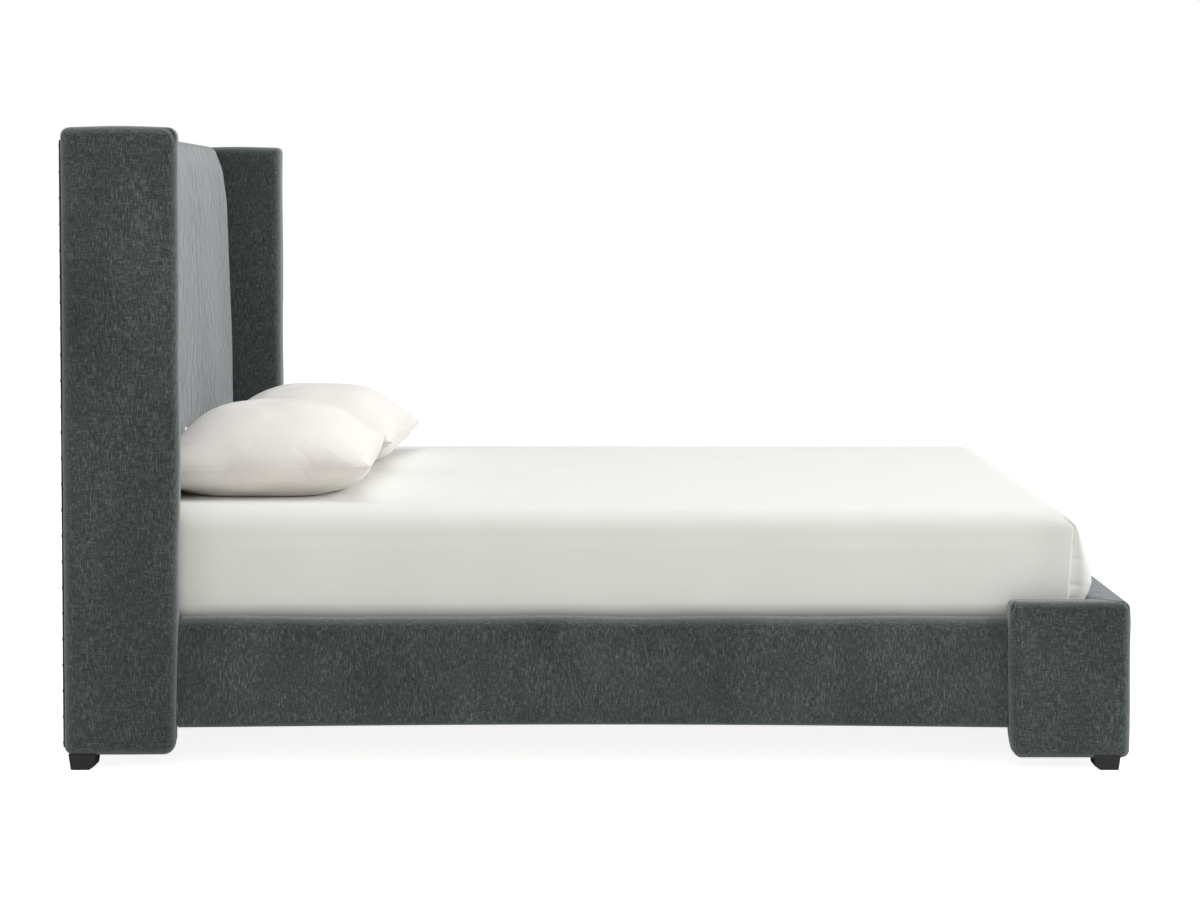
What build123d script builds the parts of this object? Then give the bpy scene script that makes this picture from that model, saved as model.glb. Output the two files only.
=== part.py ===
from build123d import *
import os

# An upholstered wingback bed with its mattress, sheet and pillows, in millimetres.
# +X runs from the headboard to the foot, +Y across the bed and +Z up from the floor.
# Left is the side at -Y. The origin is on the floor below the middle of the bed.

os.makedirs("parts", exist_ok=True)

# Mattress, which the whole bed is sized around
mattress_length = 2032
mattress_width = 1524
mattress_height = 254
mattress_crown = 5
mattress_bulge = 3
mattress_corner_radius = 45
mattress_top_radius = 38
mattress_bottom_radius = 24
mattress_side_clearance = 4
mattress_end_clearance = 6
sheet_thickness = 1.5
sheet_tuck = 150

# Upholstery shared by every padded piece
cover_thickness = 3
padded_edge_radius = 14
soft_gap = 0.3

# Headboard
overall_height = 1344
back_panel_thickness = 4
back_panel_bottom_z = 45
back_panel_top_drop = 24
headboard_depth = 108
headboard_lean_start_z = 640
headboard_lean = 16
headboard_roll_height = 104
headboard_roll_depth = 30
headboard_back_drop = 8
headboard_lean_radius = 4000
headboard_roll_radius = 320
headboard_crest_radius = 26
headboard_back_radius = 12
headboard_end_radius = 9
headboard_short_edge = 60
headboard_frame_depth = 44
headboard_deck_thickness = 9
headboard_pad_over_top = 42
headboard_post_width = 44
headboard_rail_height = 70

# Wings
wing_thickness = 60
wing_reach = 243
wing_board_thickness = 30
wing_dome = 3
wing_dome_radius = 1500
wing_front_top_radius = 30
wing_back_top_radius = 18
wing_front_bottom_radius = 27
wing_back_bottom_radius = 17
wing_board_corner_radius = 30

# Side rails
rail_thickness = 43
rail_height = 227
rail_bottom_z = 91
rail_board_thickness = 25
rail_board_edge_pad = 9
rail_outer_edge_radius = 16
rail_inner_edge_radius = 5

# Footboard and its returns
footboard_thickness = 80
footboard_top_z = 356
footboard_board_thickness = 36
footboard_top_radius = 22
footboard_bottom_radius = 16
return_length = 253
return_corner_radius = 20
return_slope_run = 16
return_slope_radius = 16
return_board_corner_radius = 42

# Corner feet
foot_height = 33
foot_top_size = 58
foot_bottom_size = 50
foot_corner_radius = 4
foot_chamfer_rise = 8
foot_chamfer_run = 11
head_foot_setback = 6
end_foot_setback = 19

# Mattress support
mattress_sink = 31
slat_thickness = 20
slat_width = 70
slat_count = 14
slat_side_clearance = 5
slat_end_clearance = 10
slat_edge_radius = 3
strap_width = 25
strap_thickness = 2
strap_place = 400
ledger_width = 28
ledger_height = 30
cleat_height = 60
beam_width = 40
beam_height = 60
hanger_thickness = 3
hanger_seat_length = 50
hanger_ear_width = 26
leg_count = 3
leg_size = 38
leg_spacing = 620
leg_edge_chamfer = 3

# Levelling glides under the centre legs
glide_travel = 12
glide_base_radius = 14
glide_base_height = 9
glide_edge_chamfer = 2
glide_stem_radius = 4
glide_stem_length = 42
glide_bore_clearance = 0.1
glide_bore_spare = 4
glide_leg_gap = 3

# Fasteners
bolt_clearance = 0.2
frame_bolt_radius = 4
frame_bolt_head_radius = 9
frame_bolt_head_height = 4
frame_bolt_grip = 28
wing_bolt_low_z = 250
wing_bolt_top_drop = 194
return_bolt_low_z = 90
return_bolt_top_drop = 76
foot_bolt_reach = 40
foot_bolt_socket = 22
leg_bolt_reach = 36
joint_plate_half_length = 80
joint_plate_height = 60
joint_plate_bottom_z = 130
joint_plate_thickness = 3
joint_plate_corner_radius = 6
joint_bolt_places = (35, 65)
joint_bolt_bite = 22
joint_bolt_head_radius = 7.5
joint_bolt_head_height = 5
screw_radius = 2.5
screw_head_radius = 5
screw_head_height = 3
screw_bite = 20
ledger_screw_count = 7
ledger_screw_margin = 90
cleat_screw_places = (300, 600)
hanger_screw_rise = 15

# Pillows, as outlines at shares of the height above and below the seam
pillow_length = 511
pillow_width = 640
pillow_rise = 125
pillow_drop = 75
pillow_draw = 13
left_pillow_place = -342
right_pillow_place = 302
right_pillow_shift = 6
pillow_headboard_gap = 12
upper_height_shares = (0, 0.25, 0.52, 0.77, 0.94)
upper_size_shares = (1, 0.93, 0.80, 0.60, 0.35)
upper_draw_shares = (1, 0.45, -0.35, -0.8, -1.0)
upper_corner_shares = (0.06, 0.2, 0.34, 0.4, 0.3)
lower_height_shares = (0, 0.35, 0.7, 1)
lower_size_shares = (1, 0.93, 0.82, 0.65)
lower_draw_shares = (1, 0.45, -0.35, -0.8)
lower_corner_shares = (0.06, 0.2, 0.32, 0.36)

# Places along the bed
mattress_space = mattress_length + 2 * mattress_end_clearance
overall_length = headboard_depth + mattress_space + footboard_thickness
back_x = -overall_length / 2
frame_back_x = back_x + back_panel_thickness
deck_x = frame_back_x + headboard_frame_depth
deck_front_x = deck_x + headboard_deck_thickness
headboard_front_x = back_x + headboard_depth
wing_front_x = back_x + wing_reach
mattress_head_x = headboard_front_x + mattress_end_clearance
mattress_foot_x = mattress_head_x + mattress_length
footboard_inner_x = headboard_front_x + mattress_space
foot_x = footboard_inner_x + footboard_thickness
return_front_x = foot_x - return_length
head_cleat_face_x = headboard_front_x + ledger_width
foot_cleat_face_x = footboard_inner_x - ledger_width
beam_head_x = head_cleat_face_x + hanger_thickness
beam_foot_x = foot_cleat_face_x - hanger_thickness

# Places across the bed
inner_y = mattress_width / 2 + mattress_side_clearance
outer_y = inner_y + wing_thickness
wing_middle_y = inner_y + wing_thickness / 2
rail_outer_y = inner_y + rail_thickness
rail_board_outer_y = inner_y + cover_thickness + rail_board_thickness
ledger_face_y = inner_y - ledger_width
deck_side_y = inner_y - cover_thickness
wing_pad = (wing_thickness - wing_board_thickness) / 2
footboard_pad = (footboard_thickness - footboard_board_thickness) / 2
board_outer_y = outer_y - wing_pad
board_inner_y = inner_y + wing_pad

# Heights
rail_top_z = rail_bottom_z + rail_height
slat_top_z = rail_top_z - mattress_sink
slat_bottom_z = slat_top_z - slat_thickness
ledger_bottom_z = slat_bottom_z - ledger_height
cleat_bottom_z = slat_bottom_z - cleat_height
cleat_middle_z = slat_bottom_z - cleat_height / 2
beam_bottom_z = slat_bottom_z - beam_height
leg_bottom_z = glide_base_height + glide_travel + glide_leg_gap
mattress_bottom_z = slat_top_z + sheet_thickness + soft_gap
mattress_top_z = mattress_bottom_z + mattress_height
headboard_frame_top_z = overall_height - headboard_pad_over_top
headboard_frame_bottom_z = rail_bottom_z + cover_thickness
board_bottom_z = foot_height + cover_thickness
joint_plate_middle_z = joint_plate_bottom_z + joint_plate_height / 2
headboard_middle_z = (headboard_frame_bottom_z + headboard_frame_top_z) / 2
wing_bolt_high_z = overall_height - wing_bolt_top_drop
wing_bolt_heights = (wing_bolt_low_z, (wing_bolt_low_z + wing_bolt_high_z) / 2, wing_bolt_high_z)
return_bolt_high_z = footboard_top_z - return_bolt_top_drop
return_bolt_heights = (return_bolt_low_z, (return_bolt_low_z + return_bolt_high_z) / 2, return_bolt_high_z)


# Helpers that several pieces share
def finish(piece, name):
    """Label a finished piece and write it under its name."""
    piece.part.label = name
    export_step(piece.part, f"parts/{name}.step")


def finish_pair(piece, name):
    """Write a left-hand piece and its mirror image on the right."""
    finish(piece, f"left_{name}")
    with BuildPart() as twin:
        mirror(piece.part, about=Plane.XZ)
    finish(twin, f"right_{name}")


def block(x, y, z):
    """A square-edged solid between a low and a high place on each axis."""
    with BuildPart(mode=Mode.PRIVATE) as solid:
        with BuildSketch(Plane.XY.offset(z[0])):
            with Locations(((x[0] + x[1]) / 2, (y[0] + y[1]) / 2)):
                Rectangle(x[1] - x[0], y[1] - y[0])
        extrude(amount=z[1] - z[0])
    return solid.part


def bolt(start, direction, radius, length, head_radius, head_height, clearance=0):
    """A bolt whose shank runs from start along direction, or with a clearance the hole for it."""
    seat = Plane(origin=start, z_dir=direction)
    with BuildPart(mode=Mode.PRIVATE) as solid:
        with BuildSketch(seat):
            Circle(radius + clearance)
        extrude(amount=length + clearance)
        with BuildSketch(seat):
            Circle(head_radius + clearance)
        extrude(amount=-head_height - clearance)
    return solid.part


def bolts_and_holes(places, direction, radius, length, head_radius, head_height):
    """A bolt at each place, and the holes that the pieces it passes through need."""
    bolts = [bolt(place, direction, radius, length, head_radius, head_height) for place in places]
    holes = [
        bolt(place, direction, radius, length, head_radius, head_height, bolt_clearance)
        for place in places
    ]
    return bolts, holes


def screws_and_holes(places, direction, length):
    """Wood screws at each place with their holes."""
    return bolts_and_holes(places, direction, screw_radius, length, screw_head_radius, screw_head_height)


def upright_slab(points, radii, low_y, high_y, inset=0, edge_radius=0):
    """A slab with an outline in the XZ plane, rounded at its corners and along its rims."""
    with BuildPart(mode=Mode.PRIVATE) as slab:
        with BuildSketch(Plane.XZ.offset(-low_y - inset)):
            with BuildLine():
                FilletPolyline(*points, radius=radii, close=True)
            make_face()
            if inset:
                offset(amount=-inset)
        extrude(amount=-(high_y - low_y - 2 * inset))
        if edge_radius:
            sides = slab.faces().sort_by(Axis.Y)
            fillet(sides[0].edges() + sides[-1].edges(), edge_radius - inset)
    return slab.part


def sleeve_section(corner_x, corner_y, radii, inset=0):
    """The corners of a padded rail's section, drawn in by inset."""
    points = [
        (corner_x[0] + inset, corner_y[0] + inset),
        (corner_x[1] - inset, corner_y[0] + inset),
        (corner_x[1] - inset, corner_y[1] - inset),
        (corner_x[0] + inset, corner_y[1] - inset),
    ]
    return points, [radius - inset for radius in radii]


# Fasteners and the holes that they need, on the left side unless said otherwise
wing_bolt_x = frame_back_x + headboard_frame_depth / 2
wing_bolt_length = wing_board_thickness + wing_pad + cover_thickness + frame_bolt_grip
left_wing_bolts, left_wing_bolt_holes = bolts_and_holes(
    [(wing_bolt_x, -board_outer_y, z) for z in wing_bolt_heights],
    (0, 1, 0),
    frame_bolt_radius,
    wing_bolt_length,
    frame_bolt_head_radius,
    frame_bolt_head_height,
)
return_bolt_x = footboard_inner_x + footboard_thickness / 2
return_bolt_length = wing_board_thickness + wing_pad + frame_bolt_grip
left_return_bolts, left_return_bolt_holes = bolts_and_holes(
    [(return_bolt_x, -board_outer_y, z) for z in return_bolt_heights],
    (0, 1, 0),
    frame_bolt_radius,
    return_bolt_length,
    frame_bolt_head_radius,
    frame_bolt_head_height,
)
plate_face_y = -(inner_y - joint_plate_thickness)
padded_bolt_length = joint_plate_thickness + wing_pad + joint_bolt_bite
rail_bolt_length = joint_plate_thickness + cover_thickness + joint_bolt_bite
padded_bolt_places = [
    (x, plate_face_y, joint_plate_middle_z)
    for reach in joint_bolt_places
    for x in (wing_front_x - reach, return_front_x + reach)
]
rail_bolt_places = [
    (x, plate_face_y, joint_plate_middle_z)
    for reach in joint_bolt_places
    for x in (wing_front_x + reach, return_front_x - reach)
]
padded_joint_bolts, padded_joint_holes = bolts_and_holes(
    padded_bolt_places,
    (0, -1, 0),
    frame_bolt_radius,
    padded_bolt_length,
    joint_bolt_head_radius,
    joint_bolt_head_height,
)
rail_joint_bolts, rail_joint_holes = bolts_and_holes(
    rail_bolt_places,
    (0, -1, 0),
    frame_bolt_radius,
    rail_bolt_length,
    joint_bolt_head_radius,
    joint_bolt_head_height,
)
ledger_screw_start = wing_front_x + ledger_screw_margin
ledger_screw_pitch = (return_front_x - ledger_screw_margin - ledger_screw_start) / (ledger_screw_count - 1)
ledger_screws, ledger_screw_holes = screws_and_holes(
    [
        (ledger_screw_start + step * ledger_screw_pitch, -ledger_face_y, ledger_bottom_z + ledger_height / 2)
        for step in range(ledger_screw_count)
    ],
    (0, -1, 0),
    ledger_width + cover_thickness + screw_bite,
)
cleat_screw_ys = [side * place for place in cleat_screw_places for side in (-1, 1)]
head_cleat_screws, head_cleat_holes = screws_and_holes(
    [(head_cleat_face_x, y, cleat_middle_z) for y in cleat_screw_ys],
    (-1, 0, 0),
    head_cleat_face_x - deck_x + screw_bite,
)
foot_cleat_screws, foot_cleat_holes = screws_and_holes(
    [(foot_cleat_face_x, y, cleat_middle_z) for y in cleat_screw_ys],
    (1, 0, 0),
    ledger_width + footboard_pad + screw_bite,
)
hanger_screw_y = beam_width / 2 + hanger_thickness + hanger_ear_width / 2
hanger_screw_spots = [
    (side * hanger_screw_y, cleat_middle_z + rise)
    for side in (-1, 1)
    for rise in (-hanger_screw_rise, hanger_screw_rise)
]
head_hanger_screws, head_hanger_holes = screws_and_holes(
    [(beam_head_x, y, z) for y, z in hanger_screw_spots],
    (-1, 0, 0),
    hanger_thickness + screw_bite,
)
foot_hanger_screws, foot_hanger_holes = screws_and_holes(
    [(beam_foot_x, y, z) for y, z in hanger_screw_spots],
    (1, 0, 0),
    hanger_thickness + screw_bite,
)
head_foot_x = back_x + head_foot_setback + foot_top_size / 2
end_foot_x = foot_x - end_foot_setback - foot_top_size / 2
foot_bolt_places = [
    (x, side * wing_middle_y, foot_height - foot_bolt_socket)
    for x in (head_foot_x, end_foot_x)
    for side in (-1, 1)
]
leg_middle_x = (beam_head_x + beam_foot_x) / 2
leg_xs = [leg_middle_x + (step - (leg_count - 1) / 2) * leg_spacing for step in range(leg_count)]
leg_bolt_places = [(x, 0, beam_bottom_z - leg_bolt_reach) for x in leg_xs]


def stud(start, length, clearance=0):
    """A threaded stud that joins a foot or leg to what it carries, or the hole for it."""
    with BuildPart(mode=Mode.PRIVATE) as solid:
        with BuildSketch(Plane.XY.offset(start[2] - clearance)):
            with Locations((start[0], start[1])):
                Circle(frame_bolt_radius + clearance)
        extrude(amount=length + 2 * clearance)
    return solid.part


foot_stud_length = foot_bolt_socket + foot_bolt_reach
leg_stud_length = 2 * leg_bolt_reach
foot_studs = [stud(place, foot_stud_length) for place in foot_bolt_places]
foot_stud_holes = [stud(place, foot_stud_length, bolt_clearance) for place in foot_bolt_places]
leg_studs = [stud(place, leg_stud_length) for place in leg_bolt_places]
leg_stud_holes = [stud(place, leg_stud_length, bolt_clearance) for place in leg_bolt_places]

# Headboard frame, closed behind by the back panel
frame_span_x = (frame_back_x, deck_x)
post_inner_y = deck_side_y - headboard_post_width
with BuildPart() as headboard_post:
    add(block(frame_span_x, (-deck_side_y, -post_inner_y), (headboard_frame_bottom_z, headboard_frame_top_z)))
    add(left_wing_bolt_holes, mode=Mode.SUBTRACT)
finish_pair(headboard_post, "headboard_post")

headboard_rails = {
    "headboard_bottom_rail": cleat_middle_z,
    "headboard_middle_rail": headboard_middle_z,
    "headboard_top_rail": headboard_frame_top_z - headboard_rail_height / 2,
}
for name, middle_z in headboard_rails.items():
    span_z = (middle_z - headboard_rail_height / 2, middle_z + headboard_rail_height / 2)
    with BuildPart() as headboard_rail:
        add(block(frame_span_x, (-post_inner_y, post_inner_y), span_z))
        add(head_cleat_holes, mode=Mode.SUBTRACT)
    finish(headboard_rail, name)

with BuildPart() as headboard_deck:
    add(
        block(
            (deck_x, deck_front_x),
            (-deck_side_y, deck_side_y),
            (headboard_frame_bottom_z, headboard_frame_top_z),
        )
    )
    add(head_cleat_holes, mode=Mode.SUBTRACT)
finish(headboard_deck, "headboard_deck")

with BuildPart() as back_panel:
    add(
        block(
            (back_x, frame_back_x),
            (-outer_y + padded_edge_radius, outer_y - padded_edge_radius),
            (back_panel_bottom_z, overall_height - back_panel_top_drop),
        )
    )
finish(back_panel, "back_panel")

# Headboard pad: a straight foot, a slight lean and a rolled top
headboard_roll_z = overall_height - headboard_roll_height
headboard_crest_x = headboard_front_x - headboard_lean - headboard_roll_depth
headboard_points = (
    (frame_back_x, rail_bottom_z),
    (headboard_front_x, rail_bottom_z),
    (headboard_front_x, headboard_lean_start_z),
    (headboard_front_x - headboard_lean, headboard_roll_z),
    (headboard_crest_x, overall_height),
    (frame_back_x, overall_height - headboard_back_drop),
)
headboard_radii = (
    cover_thickness + soft_gap,
    cover_thickness + soft_gap,
    headboard_lean_radius,
    headboard_roll_radius,
    headboard_crest_radius,
    headboard_back_radius,
)


def headboard_form(inset):
    """The headboard pad's outer form, drawn in by inset, with soft front and top edges."""
    with BuildPart(mode=Mode.PRIVATE) as form:
        with BuildSketch(Plane.XZ.offset(inner_y - inset)):
            with BuildLine():
                FilletPolyline(*headboard_points, radius=headboard_radii, close=True)
            make_face()
            if inset:
                offset(amount=-inset)
        extrude(amount=-2 * (inner_y - inset))
        sides = form.faces().sort_by(Axis.Y)
        rims = sides[0].edges() + sides[-1].edges()
        soft_rims = rims.filter_by(
            lambda rim: rim.center().X > deck_front_x and rim.length > headboard_short_edge
        )
        fillet(soft_rims, headboard_end_radius - inset)
    return form.part


headboard_skin = headboard_form(0)
headboard_filling = headboard_form(cover_thickness)
headboard_frame_space = block(
    (frame_back_x, deck_front_x),
    (-deck_side_y, deck_side_y),
    (headboard_frame_bottom_z, headboard_frame_top_z),
)
with BuildPart() as headboard_cover:
    add(headboard_skin)
    add(headboard_filling, mode=Mode.SUBTRACT)
    add(headboard_frame_space, mode=Mode.SUBTRACT)
    add(left_wing_bolt_holes, mode=Mode.SUBTRACT)
    add([mirror(hole, about=Plane.XZ) for hole in left_wing_bolt_holes], mode=Mode.SUBTRACT)
    add(head_cleat_holes, mode=Mode.SUBTRACT)
finish(headboard_cover, "headboard_cover")

with BuildPart() as headboard_foam:
    add(headboard_filling)
    add(
        block((back_x, deck_front_x), (-inner_y, inner_y), (rail_bottom_z, headboard_frame_top_z)),
        mode=Mode.SUBTRACT,
    )
    add(head_cleat_holes, mode=Mode.SUBTRACT)
finish(headboard_foam, "headboard_foam")

# Wings
wing_points = (
    (frame_back_x, foot_height),
    (wing_front_x, foot_height),
    (wing_front_x, overall_height - wing_dome),
    ((frame_back_x + wing_front_x) / 2, overall_height),
    (frame_back_x, overall_height - wing_dome),
)
wing_radii = (
    wing_back_bottom_radius,
    wing_front_bottom_radius,
    wing_front_top_radius,
    wing_dome_radius,
    wing_back_top_radius,
)
wing_board_points = (
    (frame_back_x + cover_thickness, board_bottom_z),
    (wing_front_x - wing_pad, board_bottom_z),
    (wing_front_x - wing_pad, overall_height - wing_dome - wing_pad),
    (frame_back_x + cover_thickness, overall_height - wing_dome - wing_pad),
)
wing_holes = left_wing_bolt_holes + padded_joint_holes + foot_stud_holes
wing_filling = upright_slab(
    wing_points, wing_radii, -outer_y, -inner_y, cover_thickness, padded_edge_radius
)
wing_skin = upright_slab(wing_points, wing_radii, -outer_y, -inner_y, 0, padded_edge_radius)
wing_board_form = upright_slab(
    wing_board_points, wing_board_corner_radius, -board_outer_y, -board_inner_y
)
with BuildPart() as wing_cover:
    add(wing_skin)
    add(wing_filling, mode=Mode.SUBTRACT)
    add(wing_holes, mode=Mode.SUBTRACT)
finish_pair(wing_cover, "wing_cover")

with BuildPart() as wing_foam:
    add(wing_filling)
    add(wing_board_form, mode=Mode.SUBTRACT)
    add(wing_holes, mode=Mode.SUBTRACT)
finish_pair(wing_foam, "wing_foam")

with BuildPart() as wing_board:
    add(wing_board_form)
    add(wing_holes, mode=Mode.SUBTRACT)
finish_pair(wing_board, "wing_board")

with BuildPart() as wing_bolts:
    add(left_wing_bolts)
    mirror(about=Plane.XZ)
finish(wing_bolts, "wing_bolts")

# Side rails: a board with foam on its outer face, in a sleeve of fabric
rail_span_x = (wing_front_x, return_front_x)
rail_length = return_front_x - wing_front_x
rail_section_y = (-rail_outer_y, -inner_y)
rail_section_z = (rail_bottom_z, rail_top_z)
rail_radii = (
    rail_outer_edge_radius,
    rail_inner_edge_radius,
    rail_inner_edge_radius,
    rail_outer_edge_radius,
)


def rail_form(inset):
    """The rail's rounded section along its whole length, drawn in by inset."""
    points, radii = sleeve_section(rail_section_y, rail_section_z, rail_radii, inset)
    with BuildPart(mode=Mode.PRIVATE) as form:
        with BuildSketch(Plane.YZ.offset(wing_front_x)):
            with BuildLine():
                FilletPolyline(*points, radius=radii, close=True)
            make_face()
        extrude(amount=rail_length)
    return form.part


rail_filling = rail_form(cover_thickness)
rail_board_form = block(
    rail_span_x,
    (-rail_board_outer_y, -inner_y - cover_thickness),
    (rail_bottom_z + rail_board_edge_pad, rail_top_z - rail_board_edge_pad),
)
rail_holes = rail_joint_holes + ledger_screw_holes
with BuildPart() as rail_cover:
    add(rail_form(0))
    add(rail_filling, mode=Mode.SUBTRACT)
    add(rail_holes, mode=Mode.SUBTRACT)
finish_pair(rail_cover, "rail_cover")

with BuildPart() as rail_foam:
    add(rail_filling)
    add(rail_board_form, mode=Mode.SUBTRACT)
finish_pair(rail_foam, "rail_foam")

with BuildPart() as rail_board:
    add(rail_board_form)
    add(rail_holes, mode=Mode.SUBTRACT)
finish_pair(rail_board, "rail_board")

# Returns, which close the footboard's ends
return_points = (
    (return_front_x + return_slope_run, foot_height),
    (foot_x, foot_height),
    (foot_x, footboard_top_z),
    (return_front_x, footboard_top_z),
    (return_front_x, rail_bottom_z),
)
return_radii = (
    return_corner_radius,
    return_corner_radius,
    return_corner_radius,
    return_corner_radius,
    return_slope_radius,
)
return_board_points = (
    (return_front_x + wing_pad, board_bottom_z),
    (foot_x - wing_pad, board_bottom_z),
    (foot_x - wing_pad, footboard_top_z - wing_pad),
    (return_front_x + wing_pad, footboard_top_z - wing_pad),
)
return_holes = left_return_bolt_holes + padded_joint_holes + foot_stud_holes
return_filling = upright_slab(
    return_points, return_radii, -outer_y, -inner_y, cover_thickness, padded_edge_radius
)
return_skin = upright_slab(return_points, return_radii, -outer_y, -inner_y, 0, padded_edge_radius)
return_board_form = upright_slab(
    return_board_points, return_board_corner_radius, -board_outer_y, -board_inner_y
)
with BuildPart() as return_cover:
    add(return_skin)
    add(return_filling, mode=Mode.SUBTRACT)
    add(return_holes, mode=Mode.SUBTRACT)
finish_pair(return_cover, "return_cover")

with BuildPart() as return_foam:
    add(return_filling)
    add(return_board_form, mode=Mode.SUBTRACT)
    add(return_holes, mode=Mode.SUBTRACT)
finish_pair(return_foam, "return_foam")

with BuildPart() as return_board:
    add(return_board_form)
    add(return_holes, mode=Mode.SUBTRACT)
finish_pair(return_board, "return_board")

with BuildPart() as return_bolts:
    add(left_return_bolts)
    mirror(about=Plane.XZ)
finish(return_bolts, "return_bolts")

# Footboard, padded on both faces between the returns
footboard_radii = (
    footboard_bottom_radius,
    footboard_bottom_radius,
    footboard_top_radius,
    footboard_top_radius,
)


def footboard_form(inset):
    """The footboard's rounded section across the bed, drawn in by inset."""
    points, radii = sleeve_section(
        (footboard_inner_x, foot_x), (foot_height, footboard_top_z), footboard_radii, inset
    )
    return upright_slab(points, radii, -inner_y, inner_y)


footboard_filling = footboard_form(cover_thickness)
footboard_board_form = block(
    (footboard_inner_x + footboard_pad, foot_x - footboard_pad),
    (-inner_y, inner_y),
    (board_bottom_z, footboard_top_z - footboard_pad),
)
with BuildPart() as footboard_cover:
    add(footboard_form(0))
    add(footboard_filling, mode=Mode.SUBTRACT)
    add(foot_cleat_holes, mode=Mode.SUBTRACT)
finish(footboard_cover, "footboard_cover")

with BuildPart() as footboard_foam:
    add(footboard_filling)
    add(footboard_board_form, mode=Mode.SUBTRACT)
    add(foot_cleat_holes, mode=Mode.SUBTRACT)
finish(footboard_foam, "footboard_foam")

with BuildPart() as footboard_board:
    add(footboard_board_form)
    add(foot_cleat_holes, mode=Mode.SUBTRACT)
    add(left_return_bolt_holes, mode=Mode.SUBTRACT)
    add([mirror(hole, about=Plane.XZ) for hole in left_return_bolt_holes], mode=Mode.SUBTRACT)
finish(footboard_board, "footboard_board")

# Ledgers along the rails and cleats across both ends carry the slats
ledger_span_z = (ledger_bottom_z, slat_bottom_z)
with BuildPart() as ledger:
    add(block((head_cleat_face_x, foot_cleat_face_x), (-inner_y, -ledger_face_y), ledger_span_z))
    add(ledger_screw_holes, mode=Mode.SUBTRACT)
finish_pair(ledger, "ledger")

cleat_span_z = (cleat_bottom_z, slat_bottom_z)
with BuildPart() as head_cleat:
    add(block((headboard_front_x, head_cleat_face_x), (-inner_y, inner_y), cleat_span_z))
    add(head_cleat_holes + head_hanger_holes, mode=Mode.SUBTRACT)
finish(head_cleat, "head_cleat")

with BuildPart() as foot_cleat:
    add(block((foot_cleat_face_x, footboard_inner_x), (-inner_y, inner_y), cleat_span_z))
    add(foot_cleat_holes + foot_hanger_holes, mode=Mode.SUBTRACT)
finish(foot_cleat, "foot_cleat")

with BuildPart() as support_screws:
    add(ledger_screws)
    mirror(about=Plane.XZ)
    add(head_cleat_screws)
    add(foot_cleat_screws)
finish(support_screws, "support_screws")

# Joint plates bridge each rail's two butt joints on the inside
plate_span_z = (joint_plate_bottom_z, joint_plate_bottom_z + joint_plate_height)
with BuildPart() as joint_plates:
    for joint_x in (wing_front_x, return_front_x):
        plate_span_x = (joint_x - joint_plate_half_length, joint_x + joint_plate_half_length)
        add(block(plate_span_x, (-inner_y, plate_face_y), plate_span_z))
    fillet(joint_plates.edges().filter_by(Axis.Y), joint_plate_corner_radius)
    add(padded_joint_holes + rail_joint_holes, mode=Mode.SUBTRACT)
    mirror(about=Plane.XZ)
finish(joint_plates, "joint_plates")

with BuildPart() as joint_bolts:
    add(padded_joint_bolts + rail_joint_bolts)
    mirror(about=Plane.XZ)
finish(joint_bolts, "joint_bolts")

# Centre beam in a steel hanger at each end
beam_half_width = beam_width / 2
with BuildPart() as centre_beam:
    add(block((beam_head_x, beam_foot_x), (-beam_half_width, beam_half_width), (beam_bottom_z, slat_bottom_z)))
    add(leg_stud_holes, mode=Mode.SUBTRACT)
finish(centre_beam, "centre_beam")

hanger_half_width = beam_half_width + hanger_thickness
ear_reach = hanger_half_width + hanger_ear_width
hanger_span_z = (beam_bottom_z - hanger_thickness, slat_bottom_z)
hanger_ends = (
    (head_cleat_face_x, beam_head_x, beam_head_x + hanger_seat_length),
    (foot_cleat_face_x, beam_foot_x, beam_foot_x - hanger_seat_length),
)
with BuildPart() as beam_hangers:
    for cleat_face_x, plate_x, seat_end_x in hanger_ends:
        plate_span_x = sorted((cleat_face_x, plate_x))
        seat_span_x = sorted((plate_x, seat_end_x))
        add(block(plate_span_x, (-ear_reach, ear_reach), hanger_span_z))
        add(block(seat_span_x, (-hanger_half_width, hanger_half_width), hanger_span_z))
        add(
            block(seat_span_x, (-beam_half_width, beam_half_width), (beam_bottom_z, slat_bottom_z)),
            mode=Mode.SUBTRACT,
        )
    add(head_hanger_holes + foot_hanger_holes, mode=Mode.SUBTRACT)
finish(beam_hangers, "beam_hangers")

with BuildPart() as hanger_screws:
    add(head_hanger_screws + foot_hanger_screws)
finish(hanger_screws, "hanger_screws")

# Slats, and the webbing below that keeps their spacing
first_slat_x = mattress_head_x + slat_end_clearance + slat_width / 2
last_slat_x = mattress_foot_x - slat_end_clearance - slat_width / 2
slat_pitch = (last_slat_x - first_slat_x) / (slat_count - 1)
slat_half_length = inner_y - slat_side_clearance
with BuildPart() as slats:
    for step in range(slat_count):
        middle_x = first_slat_x + step * slat_pitch
        slat_span_x = (middle_x - slat_width / 2, middle_x + slat_width / 2)
        add(block(slat_span_x, (-slat_half_length, slat_half_length), (slat_bottom_z, slat_top_z)))
    fillet(slats.edges().filter_by(Axis.Y), slat_edge_radius)
finish(slats, "slats")

strap_span_z = (slat_bottom_z - strap_thickness, slat_bottom_z)
with BuildPart() as slat_straps:
    for side in (-1, 1):
        strap_middle_y = side * strap_place
        strap_span_y = (strap_middle_y - strap_width / 2, strap_middle_y + strap_width / 2)
        add(block((head_cleat_face_x, foot_cleat_face_x), strap_span_y, strap_span_z))
finish(slat_straps, "slat_straps")

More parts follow.
